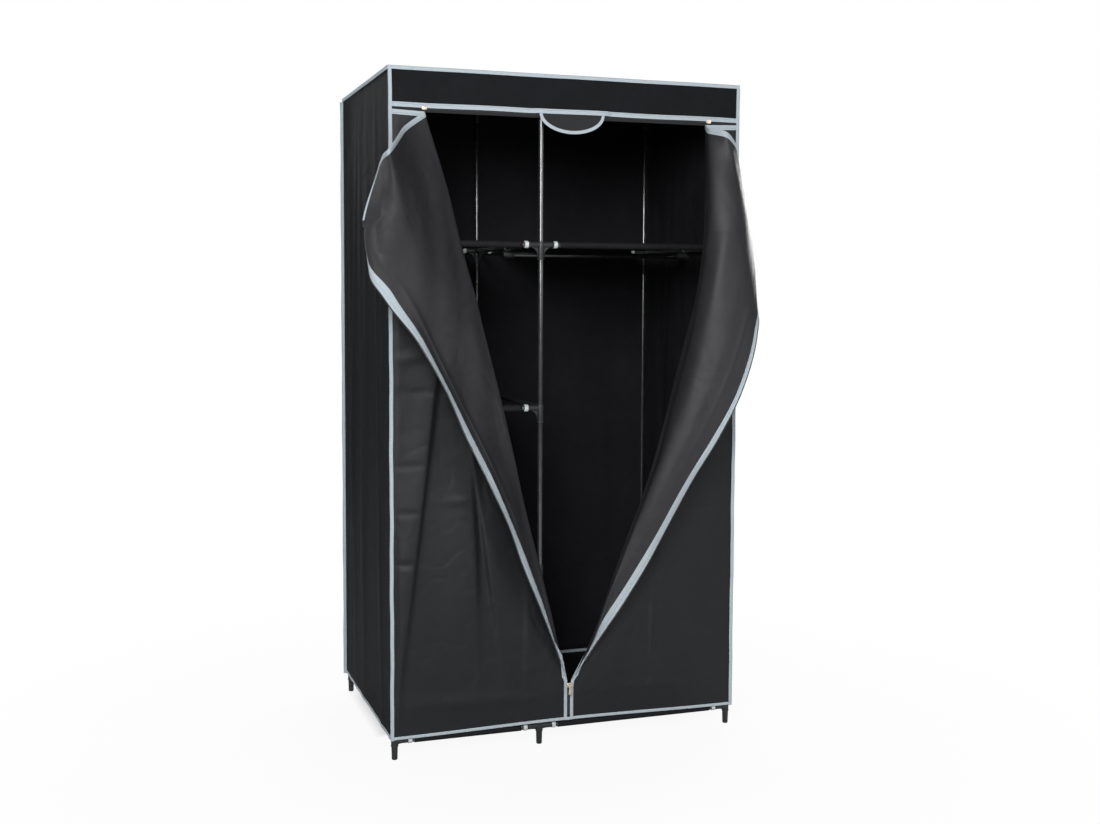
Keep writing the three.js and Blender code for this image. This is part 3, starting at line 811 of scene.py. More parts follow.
RIGHT_FLAP_SHARES = (
    ((793, 1.7, 937), (767, 49, 933), (742, 97, 929), (723, 145, 925),
     (738, 187, 922), (770, 227, 918), (824, 210, 909), (871, 187, 896)),
    ((793, 1.7, 840), (760, 84, 833), (709, 159, 826), (689, 240, 818),
     (775, 286, 807), (868, 257, 792), (938, 204, 777), (995, 142, 763)),
    ((784, 1.7, 755), (753, 82, 748), (706, 157, 742), (661, 232, 735),
     (695, 308, 726), (795, 319, 713), (888, 289, 700), (967, 241, 687)),
    ((744, 1.7, 675), (717, 78, 668), (668, 146, 662), (621, 216, 656),
     (634, 292, 647), (719, 327, 635), (815, 325, 623), (912, 310, 612)),
    ((668, 1.7, 598), (647, 71, 591), (607, 134, 585), (571, 199, 579),
     (579, 266, 571), (648, 306, 560), (733, 317, 549), (821, 322, 538)),
    ((595, 1.7, 523), (579, 63, 516), (543, 119, 511), (508, 176, 506),
     (504, 237, 499), (559, 276, 489), (635, 285, 479), (713, 283, 469)),
    ((522, 1.7, 449), (513, 56, 442), (477, 104, 438), (441, 152, 434),
     (421, 204, 429), (465, 240, 420), (532, 242, 411), (599, 224, 405)),
    ((436, 1.7, 376), (424, 47, 371), (394, 87, 367), (360, 125, 364),
     (339, 167, 360), (380, 194, 352), (436, 192, 345), (492, 178, 340)),
    ((330, 1.7, 305), (327, 36, 300), (306, 67, 297), (277, 95, 295),
     (261, 127, 292), (299, 138, 286), (342, 137, 281), (385, 136, 275)),
    ((230, 1.7, 234), (236, 25, 230), (224, 47, 228), (202, 65, 227),
     (188, 86, 225), (216, 76, 222), (244, 80, 218), (268, 92, 214)),
    ((135, 1.7, 164), (141, 17, 161), (133, 31, 160), (123, 44, 159),
     (129, 32, 158), (137, 20, 157), (137, 34, 156), (140, 47, 154)),
    ((18, 1.7, 95), (18, 1.7, 95), (18, 1.7, 95), (18, 1.7, 95),
     (18, 1.7, 95), (18, 1.7, 95), (18, 1.7, 95), (18, 1.7, 95)),
)


# The frame


@dataclass
class TubeFrame:
    """Posts, width tubes and depth tubes with their moulded connectors.

    Each connector is a sleeve round its post, an arm along every tube that
    leaves it and a hollowed web under each arm; bottom ones end in a foot.

    Attributes:
        finishes: The wardrobe's materials.
        columns: Post places across the front.
        rows: Post places in depth.
        levels: Heights of the tube layers, bottom first.
        full: Levels at which the wide column has tubes too.
        arm_start: Distance from the post's axis at which an arm's body starts.
        arm_cover: How much of an arm's end its tube is pushed over.
    """

    finishes: Finishes
    columns: dict[str, float] = field(default_factory=lambda: {
        "left": -0.4269, "middle": -0.07138, "right": 0.4269})
    rows: dict[str, float] = field(default_factory=lambda: {
        "front": -0.2794, "back": 0.2794})
    levels: dict[str, float] = field(default_factory=lambda: {
        "bottom": 0.044, "lower": 0.4301, "mid": 0.8162, "upper": 1.2023,
        "top": 1.5884})
    full: tuple[str, ...] = ("bottom", "upper", "top")
    post_radius: float = 0.00635
    tube_radius: float = 0.0065
    tube_edge: float = 0.0006
    post_low: float = 0.031
    post_high: float = 1.5938
    sleeve_radius: float = 0.00825
    sleeve_above: float = 0.008
    sleeve_below: float = 0.036
    foot_sleeve_below: float = 0.013
    arm_radius: float = 0.007
    arm_length: float = 0.035
    arm_start: float = 0.004
    arm_cover: float = 0.002
    lip_length: float = 0.004
    web_half: float = 0.0016
    web_cut: float = 0.0005
    web_reach: float = 0.027
    web_drop: float = 0.030
    foot_web_drop: float = 0.010
    foot_radii: tuple[float, float] = (0.0068, 0.0076)
    foot_rim: float = 0.002
    collar_radius: float = 0.0085
    collar_edge: float = 0.0014
    collar_span: tuple[float, float] = (0.0313, 0.0408)

    def web(
        self, shell: Shell, x: float, y: float, level: float, axis: str,
        sign: int, drop: float,
    ) -> None:
        """Add the web under an arm.

        Its lower edge is a hollow quarter ellipse: at distance d from the
        post it lies arm radius + (drop - arm radius) * (1 - sqrt(1 - s^2))
        under the arm's axis, with s from 1 at the sleeve to 0 at the reach.

        Args:
            shell: The mesh.
            x: The post's place across.
            y: The post's place in depth.
            level: Height of the arm's axis.
            axis: Letter of the arm's axis.
            sign: Which way the arm points.
            drop: How far the web runs down the sleeve.
        """
        inner = self.sleeve_radius - 0.0006
        s = np.linspace(1, 0, 12)
        far = (self.web_reach - (self.web_reach - inner) * s)[:, None]
        hollow = 1 - np.sqrt(1 - s**2)
        low = self.arm_radius + (drop - self.arm_radius) * hollow
        low = low - 0.0004
        high = np.full(len(s), 0.001)
        half, cut = self.web_half, self.web_cut
        wide = np.array([-half, -half, -half + cut, half - cut, half, half])
        lift = np.array([0, cut, 0, 0, cut, 0])
        z = level - np.stack([high, low, low, low, low, high], 1) + lift
        place = ((x + sign * far, y + wide) if axis == "x"
                 else (x + wide, y + sign * far))
        shell.grid(spread(*place, z), around=True, ends=True, tint=1)

    def connector(
        self, shell: Shell, x: float, y: float, name: str,
        arms: Sequence[tuple[str, int]],
    ) -> None:
        """Add the connector of one post and level.

        Args:
            shell: The mesh.
            x: The post's place across.
            y: The post's place in depth.
            name: The level's name.
            arms: Axis and sign of each arm.
        """
        level, foot = self.levels[name], name == "bottom"
        low = level - (self.foot_sleeve_below if foot else self.sleeve_below)
        post = (x, y, 0)
        shell.bar("z", post, self.sleeve_radius, low,
                  level + self.sleeve_above, 0.0012, tint=1)
        shell.bar("z", post, self.sleeve_radius + 0.0005, low,
                  low + self.lip_length, 0.0008, tint=1)
        if foot:
            tip, root = self.foot_radii
            rise = np.linspace(0, QUARTER, 5)
            rim = np.stack([tip - self.foot_rim * (1 - np.sin(rise)),
                            self.foot_rim * (1 - np.cos(rise))], 1)
            shell.turn([*rim, (root, low + 0.001)], "z", post, tint=1)
        drop = self.foot_web_drop if foot else self.web_drop
        for axis, sign in arms:
            at = (0, y, level) if axis == "x" else (x, 0, level)
            middle = x if axis == "x" else y
            end = middle + sign * self.arm_length
            shell.bar(axis, at, self.arm_radius,
                      middle + sign * self.arm_start, end, 0.0008, tint=1)
            shell.bar(axis, at, self.arm_radius + 0.0004,
                      end - sign * self.lip_length, end - sign * 0.0002,
                      0.0006, tint=1)
            self.web(shell, x, y, level, axis, sign, drop)

    def build(self) -> None:
        """Build the posts, the depth tubes and the width tubes."""
        f = self.finishes
        for row, y in self.rows.items():
            for column, x in self.columns.items():
                shell = Shell(f"post_tube_{row}_{column}")
                shell.bar("z", (x, y, 0), self.post_radius, self.post_low,
                          self.post_high, self.tube_edge)
                settle(shell.build([f.tube]), [f"post_{row}_{column}"])
        for name in self.levels:
            full = name in self.full
            for column, x in self.columns.items():
                if column != "right" or full:
                    self.depth_tube(name, column, x, full)
            self.width_tubes(name)

    def depth_tube(self, name: str, column: str, x: float, full: bool) -> None:
        """Build one depth tube with its front and back connectors.

        Args:
            name: The level's name.
            column: The post's name.
            x: The post's place across.
            full: Whether the wide column has tubes at this level.
        """
        f = self.finishes
        shell = Shell(f"depth_tube_{name}_{column}")
        signs = {"left": [1], "middle": [-1, 1] if full else [-1],
                 "right": [-1]}[column]
        reach = self.arm_length - self.arm_cover
        shell.bar("y", (x, 0, self.levels[name]), self.tube_radius,
                  self.rows["front"] + reach, self.rows["back"] - reach,
                  self.tube_edge)
        for row, y in self.rows.items():
            arms = [("x", sign) for sign in signs]
            arms.append(("y", 1 if row == "front" else -1))
            self.connector(shell, x, y, name, arms)
        settle(shell.build([f.tube, f.plastic]),
               [f"rung_{name}_{column}"])

    def spans(self, name: str) -> dict[str, tuple[float, float]]:
        """Find the gaps between posts that a level's tubes bridge.

        Args:
            name: The level's name.

        Returns:
            Places of the two posts by the gap's name.
        """
        left, middle, right = self.columns.values()
        spans = {"left": (left, middle), "right": (middle, right)}
        return spans if name in self.full else {"left": spans["left"]}

    def width_tubes(self, name: str) -> None:
        """Build the width tubes of one level with their pale collars.

        Args:
            name: The level's name.
        """
        f = self.finishes
        reach = self.arm_length - self.arm_cover
        near, far = self.collar_span
        for side, (start, end) in self.spans(name).items():
            for row, y in self.rows.items():
                at = (0, y, self.levels[name])
                shell = Shell(f"width_tube_{row}_{name}_{side}")
                shell.bar("x", at, self.tube_radius, start + reach,
                          end - reach, self.tube_edge)
                for first, last in ((start + near, start + far),
                                    (end - near, end - far)):
                    shell.bar("x", at, self.collar_radius, first, last,
                              self.collar_edge, tint=1)
                settle(shell.build([f.tube, f.collar]),
                       [f"tube_{row}_{name}_{side}"])


@dataclass
class HangingRail:
    """The rail and the two brackets that carry it.

    Attributes:
        frame: The frame it hangs in.
        drop: How far the rail's axis lies under the depth tubes.
        run: How far the rail runs past the tubes' axes.
        radius: Radius of a bracket's saddle and socket.
        half: Half the saddle's length.
        back: How far the socket runs past the tube's axis.
        reach: How far it runs along the rail.
        edge: Radius of its rims.
    """

    frame: TubeFrame
    drop: float = 0.017
    run: float = 0.006
    radius: float = 0.009
    half: float = 0.012
    back: float = 0.009
    reach: float = 0.020
    edge: float = 0.0012

    def build(self) -> None:
        """Build the rail and its brackets."""
        f, tube = self.frame.finishes, self.frame
        level = tube.levels["upper"]
        start, end = tube.columns["middle"], tube.columns["right"]
        at = (0, 0, level - self.drop)
        shell = Shell("rail_tube")
        shell.bar("x", at, tube.tube_radius, start - self.run, end + self.run,
                  tube.tube_edge)
        settle(shell.build([f.tube]), ["hanging_rail"])
        for side, x, sign in (("left", start, 1), ("right", end, -1)):
            shell = Shell(f"rail_hook_{side}")
            shell.bar("y", (x, 0, level), self.radius, -self.half, self.half,
                      self.edge)
            shell.bar("x", at, self.radius, x - sign * self.back,
                      x + sign * self.reach, self.edge)
            shell.bar("x", at, self.radius + 0.0004,
                      x + sign * (self.reach - 0.0035),
                      x + sign * (self.reach - 0.0002), self.edge / 2)
            settle(shell.build([f.plastic]),
                   [f"rail_bracket_{side}"])


@dataclass
class Shelves:
    """Six cloth shelves, sleeved over the front and back tubes.

    Attributes:
        frame: The frame they hang in.
        setback: Distance of a shelf's ends from the post axes.
        sleeve: Radius of the sleeve's cloth round the tube.
        sag: How far the middle hangs.
        still: Depth over which the waves die out before the back tube.
    """

    frame: TubeFrame
    setback: float = 0.047
    sleeve: float = 0.0077
    sag: float = 0.0068
    still: float = 0.06
    thickness: float = 0.0009

    def section(self, level: float) -> Array:
        """Return the path of a shelf from front to back as (y, z).

        It starts at the seam under the cloth, runs round the tube by
        r * (cos, sin) and over to the other tube on a parabola.

        Args:
            level: Height of the tubes' axes.

        Returns:
            Array of points by 2.
        """
        angle = np.radians(np.linspace(-20, -270, 22))
        y0 = self.frame.rows["front"]
        ring = np.stack([y0 + self.sleeve * np.cos(angle),
                         level + self.sleeve * np.sin(angle)], 1)
        seam = (y0 + 0.019, level + self.sleeve - 0.0022)
        bend = (y0 + 0.0105, level + 0.003)
        t = np.linspace(0, 1, 42)[1:-1]
        y = y0 + 2 * abs(y0) * t
        z = level + self.sleeve - self.sag * (1 - (2 * t - 1) ** 2)
        front = np.vstack([seam, bend, ring])
        return np.vstack([front, np.stack([y, z], 1), front[::-1] * (-1, 1)])

    def build(self) -> None:
        """Build every shelf."""
        for name, level in self.frame.levels.items():
            if name == "top":
                continue
            for side, (first, last) in self.frame.spans(name).items():
                self.shelf(f"{name}_{side}", level, first + self.setback,
                           last - self.setback)

    def shelf(self, name: str, level: float, start: float, end: float) -> None:
        """Build one shelf.

        The sag grows toward the middle of its length by 1 mm, and three
        shallow waves run across it.

        Args:
            name: The level's name and the gap's.
            level: Height of the tubes' axes.
            start: Its left end.
            end: Its right end.
        """
        section = self.section(level)
        x = np.linspace(start, end, 36)[:, None]
        share = (x - start) / (end - start)
        back = self.frame.rows["back"] - 0.012
        body = ease((back - np.abs(section[:, 0])) / self.still)
        wave = 0.0007 * np.sin(share * 3 * TAU) * body
        wave -= 0.001 * (1 - (2 * share - 1) ** 2) * body
        length = along(section)
        points = spread(x, section[:, 0], section[:, 1] + wave)
        piece = sheet_piece(f"shelf_cloth_{name}", points, spread(x, length),
                            [self.frame.finishes.shelf], self.thickness)
        settle(piece, [f"shelf_{name}"])


# The cover


@dataclass
class CoverShell:
    """Side walls, back, roof and header band with their bound seams.

    Attributes:
        finishes: The wardrobe's materials.
        half_width: Half the cover's width.
        half_depth: Half its depth.
        top: Height of the roof.
        hem: Height of the lower edge.
        header_low: Height of the header band's lower edge.
        seam_drop: How far the walls' top edges lie under the roof.
        tape_width: Width of the binding.
        tape_half: Half its thickness where it lies on the cloth.
        header_tape: Width of the header's binding.
        corner_radius: Radius of the roof's rim at its corners.
        tab_step: How far the header's binding stands out over the tab.
    """

    finishes: Finishes
    half_width: float = 0.4375
    half_depth: float = 0.290
    top: float = 1.599
    hem: float = 0.050
    header_low: float = 1.5075
    seam_drop: float = 0.0016
    tape_width: float = 0.0085
    tape_half: float = 0.0011
    header_tape: float = 0.0108
    corner_radius: float = 0.004
    thickness: float = 0.0009
    tab_step: float = 0.0072

    def folds(self, share: Array, drop: Array, places: Sequence) -> Array:
        """Return how far the upright folds of a wall stand out.

        Each fold is height * bell(share, centre + lean * drop, width), grows
        from the roof down and dies out at both seams.

        Args:
            share: Place along the wall from 0 to 1.
            drop: Place down the wall from 0, the roof, to 1, the hem.
            places: Rows of centre, lean, width and height.

        Returns:
            The outward distances.
        """
        total = np.zeros(np.broadcast(share, drop).shape)
        for centre, lean, width, height in places:
            grown = height * (0.25 + 0.75 * ease(drop / 0.35))
            total = total + grown * bell(share, centre + lean * drop, width)
        edge = ease(share / 0.06) * ease((1 - share) / 0.06)
        low = 1 - 0.7 * ease((drop - 0.7) / 0.3)
        return total * edge * ease(drop / 0.03) * low

    def hang(
        self, names: tuple[str, str], xyz: Sequence[Array],
        flat: tuple[float, float], binding: Shell, turned: bool = False,
        weld: float = 0.0,
    ) -> None:
        """Args:
            names: The sheet's name and its CAD node.
            xyz: The points' coordinates, which broadcast together.
            flat: The sheet's flat sizes, along its columns and its rows.
            binding: The binding's finished shell.
            turned: Whether the grid's front is the cloth's inner face.
            weld: Distance under which the binding's points are merged.
        """
        points = spread(*xyz)
        rows, cols = points.shape[:2]
        uv = spread(np.linspace(0, 1, cols) * flat[0],
                   np.linspace(0, 1, rows)[:, None] * flat[1])
        # The inner faces take the lining's colour, which is painted light.
        faces = [self.finishes.wall, self.finishes.lining_painted_light]
        piece = sheet_piece(names[0], points, uv,
                            faces[::-1] if turned else faces, self.thickness)
        settle(piece, [names[1]])
        trim = settle(binding.build([self.finishes.tape], weld=weld))

    def wall(
        self, places: Sequence, cols: int, rows: int
    ) -> tuple[Array, Array, Array, float]:
        """Lay out a wall with its folds.

        Args:
            places: Rows of centre, lean, width and height of the folds.
            cols: Number of steps along the wall.
            rows: Number of steps down it.

        Returns:
            Shares of its length, heights, how far the folds stand out, and
            the wall's own height.
        """
        share = np.linspace(0, 1, cols)[None, :]
        drop = np.linspace(0, 1, rows)[:, None]
        high = self.top - self.seam_drop
        return (share, high + (self.hem - high) * drop,
                self.folds(share, drop, places), high - self.hem)

    def hem_tape(
        self, shell: Shell, x: Array, y: Array, normal: Sequence
    ) -> None:
        """Add the binding of a wall's lower edge.

        Args:
            shell: The mesh.
            x: The edge's places across.
            y: The edge's places in depth.
            normal: The way the wall faces.
        """
        z = self.hem - 0.0006 + np.linspace(0, self.tape_width, TAPE_COLUMNS)
        shell.tape(spread(x[:, None], y[:, None], z), normal, self.tape_half)

    def lay(
        self, shell: Shell, x: float, y: float, width: Sequence,
        normal: Sequence, rows: int = 90,
    ) -> None:
        """Add an upright tape that sways by two sines of its height.

        Args:
            shell: The mesh.
            x: Place of its first edge across.
            y: Place of its first edge in depth.
            width: Vector across the tape.
            normal: The way it faces.
            rows: Number of steps up it.
        """
        low, high = self.hem - 0.002, self.top - 0.0088
        step = np.linspace(0, 1, rows) * (high - low)
        sway = 0.0005 * np.sin(step * 21.0)
        sway = sway + 0.0003 * np.sin(step * 57.0 + 1.0)
        surface = strip((x, y, low), (x, y, high), width, rows)
        shift = sway[:, None] * unit(np.asarray(width, float))
        shell.tape(surface + shift[:, None], normal, self.tape_half)

    def side(self, side: Side) -> None:
        """Build a side wall with upright folds, its hem and its back seam.

        Args:
            side: Which wall.
        """
        sign, name = side.value, side.word
        share, z, out, height = self.wall((
            (0.13, 0.05, 0.050, 0.0024), (0.27, -0.10, 0.034, 0.0034),
            (0.42, 0.16, 0.060, 0.0030), (0.60, -0.06, 0.040, 0.0026),
            (0.66, 0.22, 0.026, 0.0022), (0.86, -0.12, 0.045, 0.0032),
        ), 120, 70)
        length = 2 * self.half_depth
        x = sign * (self.half_width - 0.0004 + out)
        y = -self.half_depth + length * share
        front, back = -self.half_depth - 0.0013, self.half_depth - 0.0006
        wide = (sign * self.tape_width, 0, 0)
        shell = Shell(f"side_binding_{name}")
        for at, seam, face in ((self.half_width * 0.983, front, -1),
                               (self.half_width - 0.001, back, 1)):
            self.lay(shell, sign * at, seam, wide, (0, face, 0))
        self.lay(shell, sign * (self.half_width + 0.0008),
                 self.half_depth + 0.0006, (0, -0.0058, 0), (sign, 0, 0))
        self.hem_tape(shell, x[-1], y[0], (sign, 0, 0))
        self.hang((f"side_cloth_{name}", f"side_panel_{name}"), (x, y, z),
                  (length, height), shell, turned=sign > 0)

    def back(self) -> None:
        """Build the back wall; its folds face backward."""
        share, z, out, height = self.wall((
            (0.08, 0.01, 0.020, 0.0020), (0.19, -0.02, 0.026, 0.0030),
            (0.33, 0.02, 0.030, 0.0026), (0.46, -0.01, 0.022, 0.0032),
            (0.60, 0.02, 0.034, 0.0024), (0.74, -0.02, 0.024, 0.0032),
            (0.88, 0.01, 0.030, 0.0024),
        ), 150, 60)
        width = 2 * (self.half_width - 0.0015)
        x = -width / 2 + width * share
        y = self.half_depth - 0.0006 + out * 0.35
        shell = Shell("back_binding")
        self.hem_tape(shell, x[0], y[-1], (0, 1, 0))
        self.hang(("back_cloth", "back_panel"), (x, y, z), (width, height),
                  shell)

    def roof(self) -> None:
        """Build the roof sheet and the tape round its rim."""
        s = np.linspace(0, 1, 60)[None, :]
        t = np.linspace(0, 1, 44)[:, None]
        w, d = self.half_width + 0.0006, self.half_depth + 0.0006
        ring = self.rim_path(w + 0.0008, d + 0.0008)
        sway = 0.0002 * np.sin(along(ring) * 23.0)[:, None]
        rise = np.linspace(0, self.tape_width, TAPE_COLUMNS)
        low = self.top - self.tape_width - 0.0002
        surface = spread(ring[:, :1], ring[:, 1:2], low + sway + rise)
        ahead = unit(np.vstack([ring[1:], ring[1:2]])
                     - np.vstack([ring[-2:-1], ring[:-1]]))
        outward = np.stack([ahead[:, 1], -ahead[:, 0], ahead[:, 0] * 0], 1)
        binding = Shell("roof_binding").tape(
            surface, outward[:, None], self.tape_half, ends=False)
        self.hang(("roof_cloth", "roof_panel"),
                  (-w + 2 * w * s, -d + 2 * d * t, self.top - 0.0006),
                  (2 * w, 2 * d), binding, weld=1e-6)

    def rim_path(self, w: float, d: float) -> Array:
        """Return a closed rectangle with rounded corners, first point last.

        Args:
            w: Half its width.
            d: Half its depth.

        Returns:
            Array of points by 2.
        """
        radius = self.corner_radius
        turn = np.linspace(0, QUARTER, 6)
        arcs = []
        for k, (sx, sy) in enumerate([(1, -1), (1, 1), (-1, 1), (-1, -1)]):
            angle = turn + (k - 1) * QUARTER
            centre = np.array([sx * (w - radius), sy * (d - radius)])
            arcs.append(centre + radius * np.stack(
                [np.cos(angle), np.sin(angle)], 1))
        path = []
        step = np.linspace(0, 1, 70)[1:-1, None]
        for arc, following in zip(arcs, arcs[1:] + arcs[:1]):
            path += [arc, arc[-1] + (following[0] - arc[-1]) * step]
        return np.vstack([*path, arcs[0][:1]])

    def header(self) -> None:
        """Build the header band with its lower binding.

        The band ripples by up to 1.3 mm along its length, and its binding
        steps forward over the tab.
        """
        s = np.linspace(0, 1, 140)[None, :]
        t = np.linspace(0, 1, 16)[:, None]
        w = self.half_width - 0.0015
        high = self.top - self.seam_drop
        ripple = 0.0006 * np.sin(s * 31.0 + 0.6) + 0.0007 * np.sin(s * 13.0)
        ends = ease(s / 0.05) * ease((1 - s) / 0.05)
        out = ripple * np.sin(math.pi * t) * ends
        y, z = -self.half_depth - 0.0005, self.header_low - 0.0002
        surface = strip((-w + 0.004, y, z), (w - 0.004, y, z),
                        (0, 0, self.header_tape), 160)
        near = ease((0.100 - np.abs(surface[..., 0])) / 0.015)
        surface[..., 1] -= self.tab_step * near
        surface[..., 2] += 0.0005 * np.sin(surface[..., 0] * 23.0)
        binding = Shell("header_binding").tape(surface, (0, -1, 0),
                                               self.tape_half)
        self.hang(("header_cloth", "header_band"),
                  (-w + 2 * w * s, -self.half_depth + 0.0005 - np.abs(out),
                   high + (self.header_low - high) * t),
                  (2 * w, high - self.header_low), binding, turned=True)

    def build(self) -> None:
        """Build the roof first, then what hangs from it."""
        self.roof()
        for side in Side:
            self.side(side)
        self.back()
        self.header()


@dataclass
class Door:
    """Half of the front: a panel, the rolled fold and the flap beyond it.

    The door is one cloth. Column s runs from 0, the corner, to 1 just before
    the fold, to 2 just after its roll, to 3 at the zipped edge. Row 0 is the
    top edge and row 1 the lower end of the open zip.

    Attributes:
        side: Which half.
        shares: Table of the flap's shape.
        creases: Upright creases as rows of x, height, lean, width on the left
            and on the right, half length and depth.
        pressed: Level creases as rows of height, tilt, x, half length, width
            and depth.
        cover: The cover's sizes and finishes.
        corner: Distance of the panel's outer edge from the middle.
        panel_top: Height of its top edge.
        open_low: Height of the open zip's lower end.
        edge_gap: Distance of the centre edge from the middle.
        hem_rise: How much higher the hem lies at the middle.
        roll: Length of flap cloth that the fold's roll takes.
        zip_tape: Width of the tape on the zipped edge.
        slim: How much of that width the lower part gives up.
        zip_from: Row at which that tape and its coil start.
        zip_end: Row at which the tape ends.
        coil_end: Row at which the coil ends.
        tuck: Rows at which the zipped edge starts to curl behind, has fully
            curled, starts to come back and is back.
        tuck_inset: Distance from the edge at which the curl starts.
        tuck_radius: Radius of the curl.
        tuck_turn: How far it turns, in radians.
        valley: Place, width and depth of the hollow beside the fold.
        wave: Strength of the flap's small folds.
    """

    side: Side
    shares: tuple
    creases: tuple
    pressed: tuple
    cover: CoverShell
    corner: float = 0.4356
    panel_top: float = 1.501
    open_low: float = 0.152
    edge_gap: float = 0.0043
    hem_rise: float = 0.0055
    roll: float = 0.016
    zip_tape: float = 0.023
    slim: float = 0.15
    zip_from: float = 0.0885
    zip_end: float = 0.998
    coil_end: float = 0.952
    tuck: tuple[float, float, float, float] = (0.0755, 0.087, 0.118, 0.195)
    tuck_inset: float = 0.013
    tuck_radius: float = 0.015
    tuck_turn: float = 2.6
    valley: tuple[float, float, float] = (0.05, 0.02, 0.0)
    wave: float = 0.75

    def __post_init__(self) -> None:
        """Turn the table of shares into places and measure its rows."""
        table = np.array(self.shares, float) / 1000.0
        c = self.cover
        self.sign = self.side.value
        self.plane = -c.half_depth + 0.0005
        self.table = spread(self.sign * table[..., 0] * c.half_width,
                            -c.half_depth - table[..., 1] * 2 * c.half_depth,
                            table[..., 2] * c.top)
        self.stops = np.linspace(0, 1, 240)
        rows = self.sheet(self.stops[:, None], np.linspace(0, 1, 30)[None, :])
        self.lengths = np.maximum(across(rows)[:, -1], 1e-4)

    def sheet(self, down: Array, out: Array) -> Array:
        """Return points of the bicubic surface through the table.

        Args:
            down: Places down the fold from 0 to 1.
            out: Places from 0, the fold, to 1, the last column.

        Returns:
            Points of the shape that both arrays broadcast to.
        """
        down, out = np.broadcast_arrays(down, out)
        first = spline_weights(down.ravel(), self.table.shape[0])
        second = spline_weights(out.ravel(), self.table.shape[1])
        points = np.einsum("ni,nj,ijk->nk", first, second, self.table)
        return points.reshape(*down.shape, 3)

    def tucked(self, down: Array) -> Array:
        """Return how far the zipped edge is curled behind, from 0 to 1."""
        first, full, fade, last = self.tuck
        return (ease((down - first) / (full - first))
                * ease((last - down) / (last - fade)))

    def reach(self, down: Array) -> Array:
        """Return the flap's length from fold to edge at each row."""
        length = np.interp(down, self.stops, self.lengths)
        curl = self.tuck_turn * self.tuck_radius - self.tuck_inset
        return length + curl * self.tucked(down)

    def flap(self, down: Array, out: Array) -> Array:
        """Return points of the flap with its edge curled behind.

        Beyond the inset the cloth follows radius * sin a along its row and
        radius * (1 - cos a) backward.

        Args:
            down: Places from 0, the top edge, to 1, the end of the open zip.
            out: Places from 0, the fold, to 1, the zipped edge.

        Returns:
            Points of the shape that both arrays broadcast to.
        """
        down, out = np.broadcast_arrays(down, out)
        length = np.interp(down, self.stops, self.lengths)
        plain = length - self.tuck_inset * self.tucked(down)
        walked = out * self.reach(down)
        share = np.minimum(walked, plain) / length
        points = self.sheet(down, share)
        outward = unit(points - self.sheet(down, np.maximum(share - 0.01, 0)))
        lower = self.sheet(np.minimum(down + 0.004, 1.0), share)
        behind = np.cross(outward, unit(lower - points))
        behind = behind * np.where(behind[..., 1:2] < 0, -1.0, 1.0)
        behind = unit(behind + 1e-9)
        turn = (np.maximum(walked - plain, 0) / self.tuck_radius)[..., None]
        curl = self.tuck_radius * (outward * np.sin(turn)
                                   + behind * (1 - np.cos(turn)))
        return points + np.where(turn > 0, curl, 0.0)

    def creased(self, down: Array, out: Array) -> Array:
        """Return points of the flap with its own small folds.

        A soft ridge runs 45 mm inside the zipped edge, and slow waves lean
        across the cloth, all dying out at the fold, the edge and the ends.

        Args:
            down: Places from 0, the top edge, to 1, the end of the open zip.
            out: Places from 0, the fold, to 1, the zipped edge.

        Returns:
            Points of the shape that both arrays broadcast to.
        """
        reach = self.reach(down)
        walked, from_edge = out * reach, (1 - out) * reach
        ends = ease(down / 0.12) * ease((1 - down) / 0.25)
        ridge = 0.0036 * bell(from_edge, 0.045, 0.0045)
        ridge = ridge - 0.0014 * bell(from_edge, 0.060, 0.010)
        waves = 0.0036 * np.sin(30 * walked + 20.0 * down)
        waves = waves + 0.0024 * np.sin(57 * walked - 23.0 * down + 1.3)
        hold = ease(walked / 0.05) * ease(from_edge / 0.03)
        hold = hold * (1 - self.tucked(down) * ease((0.06 - from_edge) / 0.02))
        lift = ridge * ease((reach - 0.09) / 0.05) + waves * 0.8
        lift = lift * self.wave * hold * ends
        place, width, depth = self.valley
        lift = lift - depth * bell(walked, place, width) * ends * ease(
            walked / 0.02) * ease((from_edge - 0.01) / 0.05)
        return self.flap(down, out) + spread(0.0, -lift, 0.0)

    def relief(self, x: Array, z: Array) -> Array:
        """Return how far the panel's creases stand forward.

        Upright creases are depth * bell across a leaning line, narrower on
        one flank than on the other, and fade over their half length. Pressed
        creases run level in the same way.

        Args:
            x: Places across.
            z: Heights.

        Returns:
            The distances.
        """
        total = np.full(np.broadcast(x, z).shape, 0.0022)
        for place, height, lean, left, right, half, depth in self.creases:
            gap = x - (place + lean * (z - height))
            width = np.where(gap < 0, left, right)
            fade = bell(z, height, half)
            total = total + depth * fade * bell(gap / width, 0, 1)
        for height, tilt, place, half, width, depth in self.pressed:
            gap = z - (height + tilt * (x - place))
            total = total + depth * bell(x, place, half) * bell(gap, 0, width)
        inward = (self.corner - self.sign * x) / 0.022
        low = ease((z - self.cover.hem - 0.01) / 0.07)
        high = ease((self.panel_top - z) / 0.05)
        return np.maximum(total, 0.0) * ease(inward) * low * high

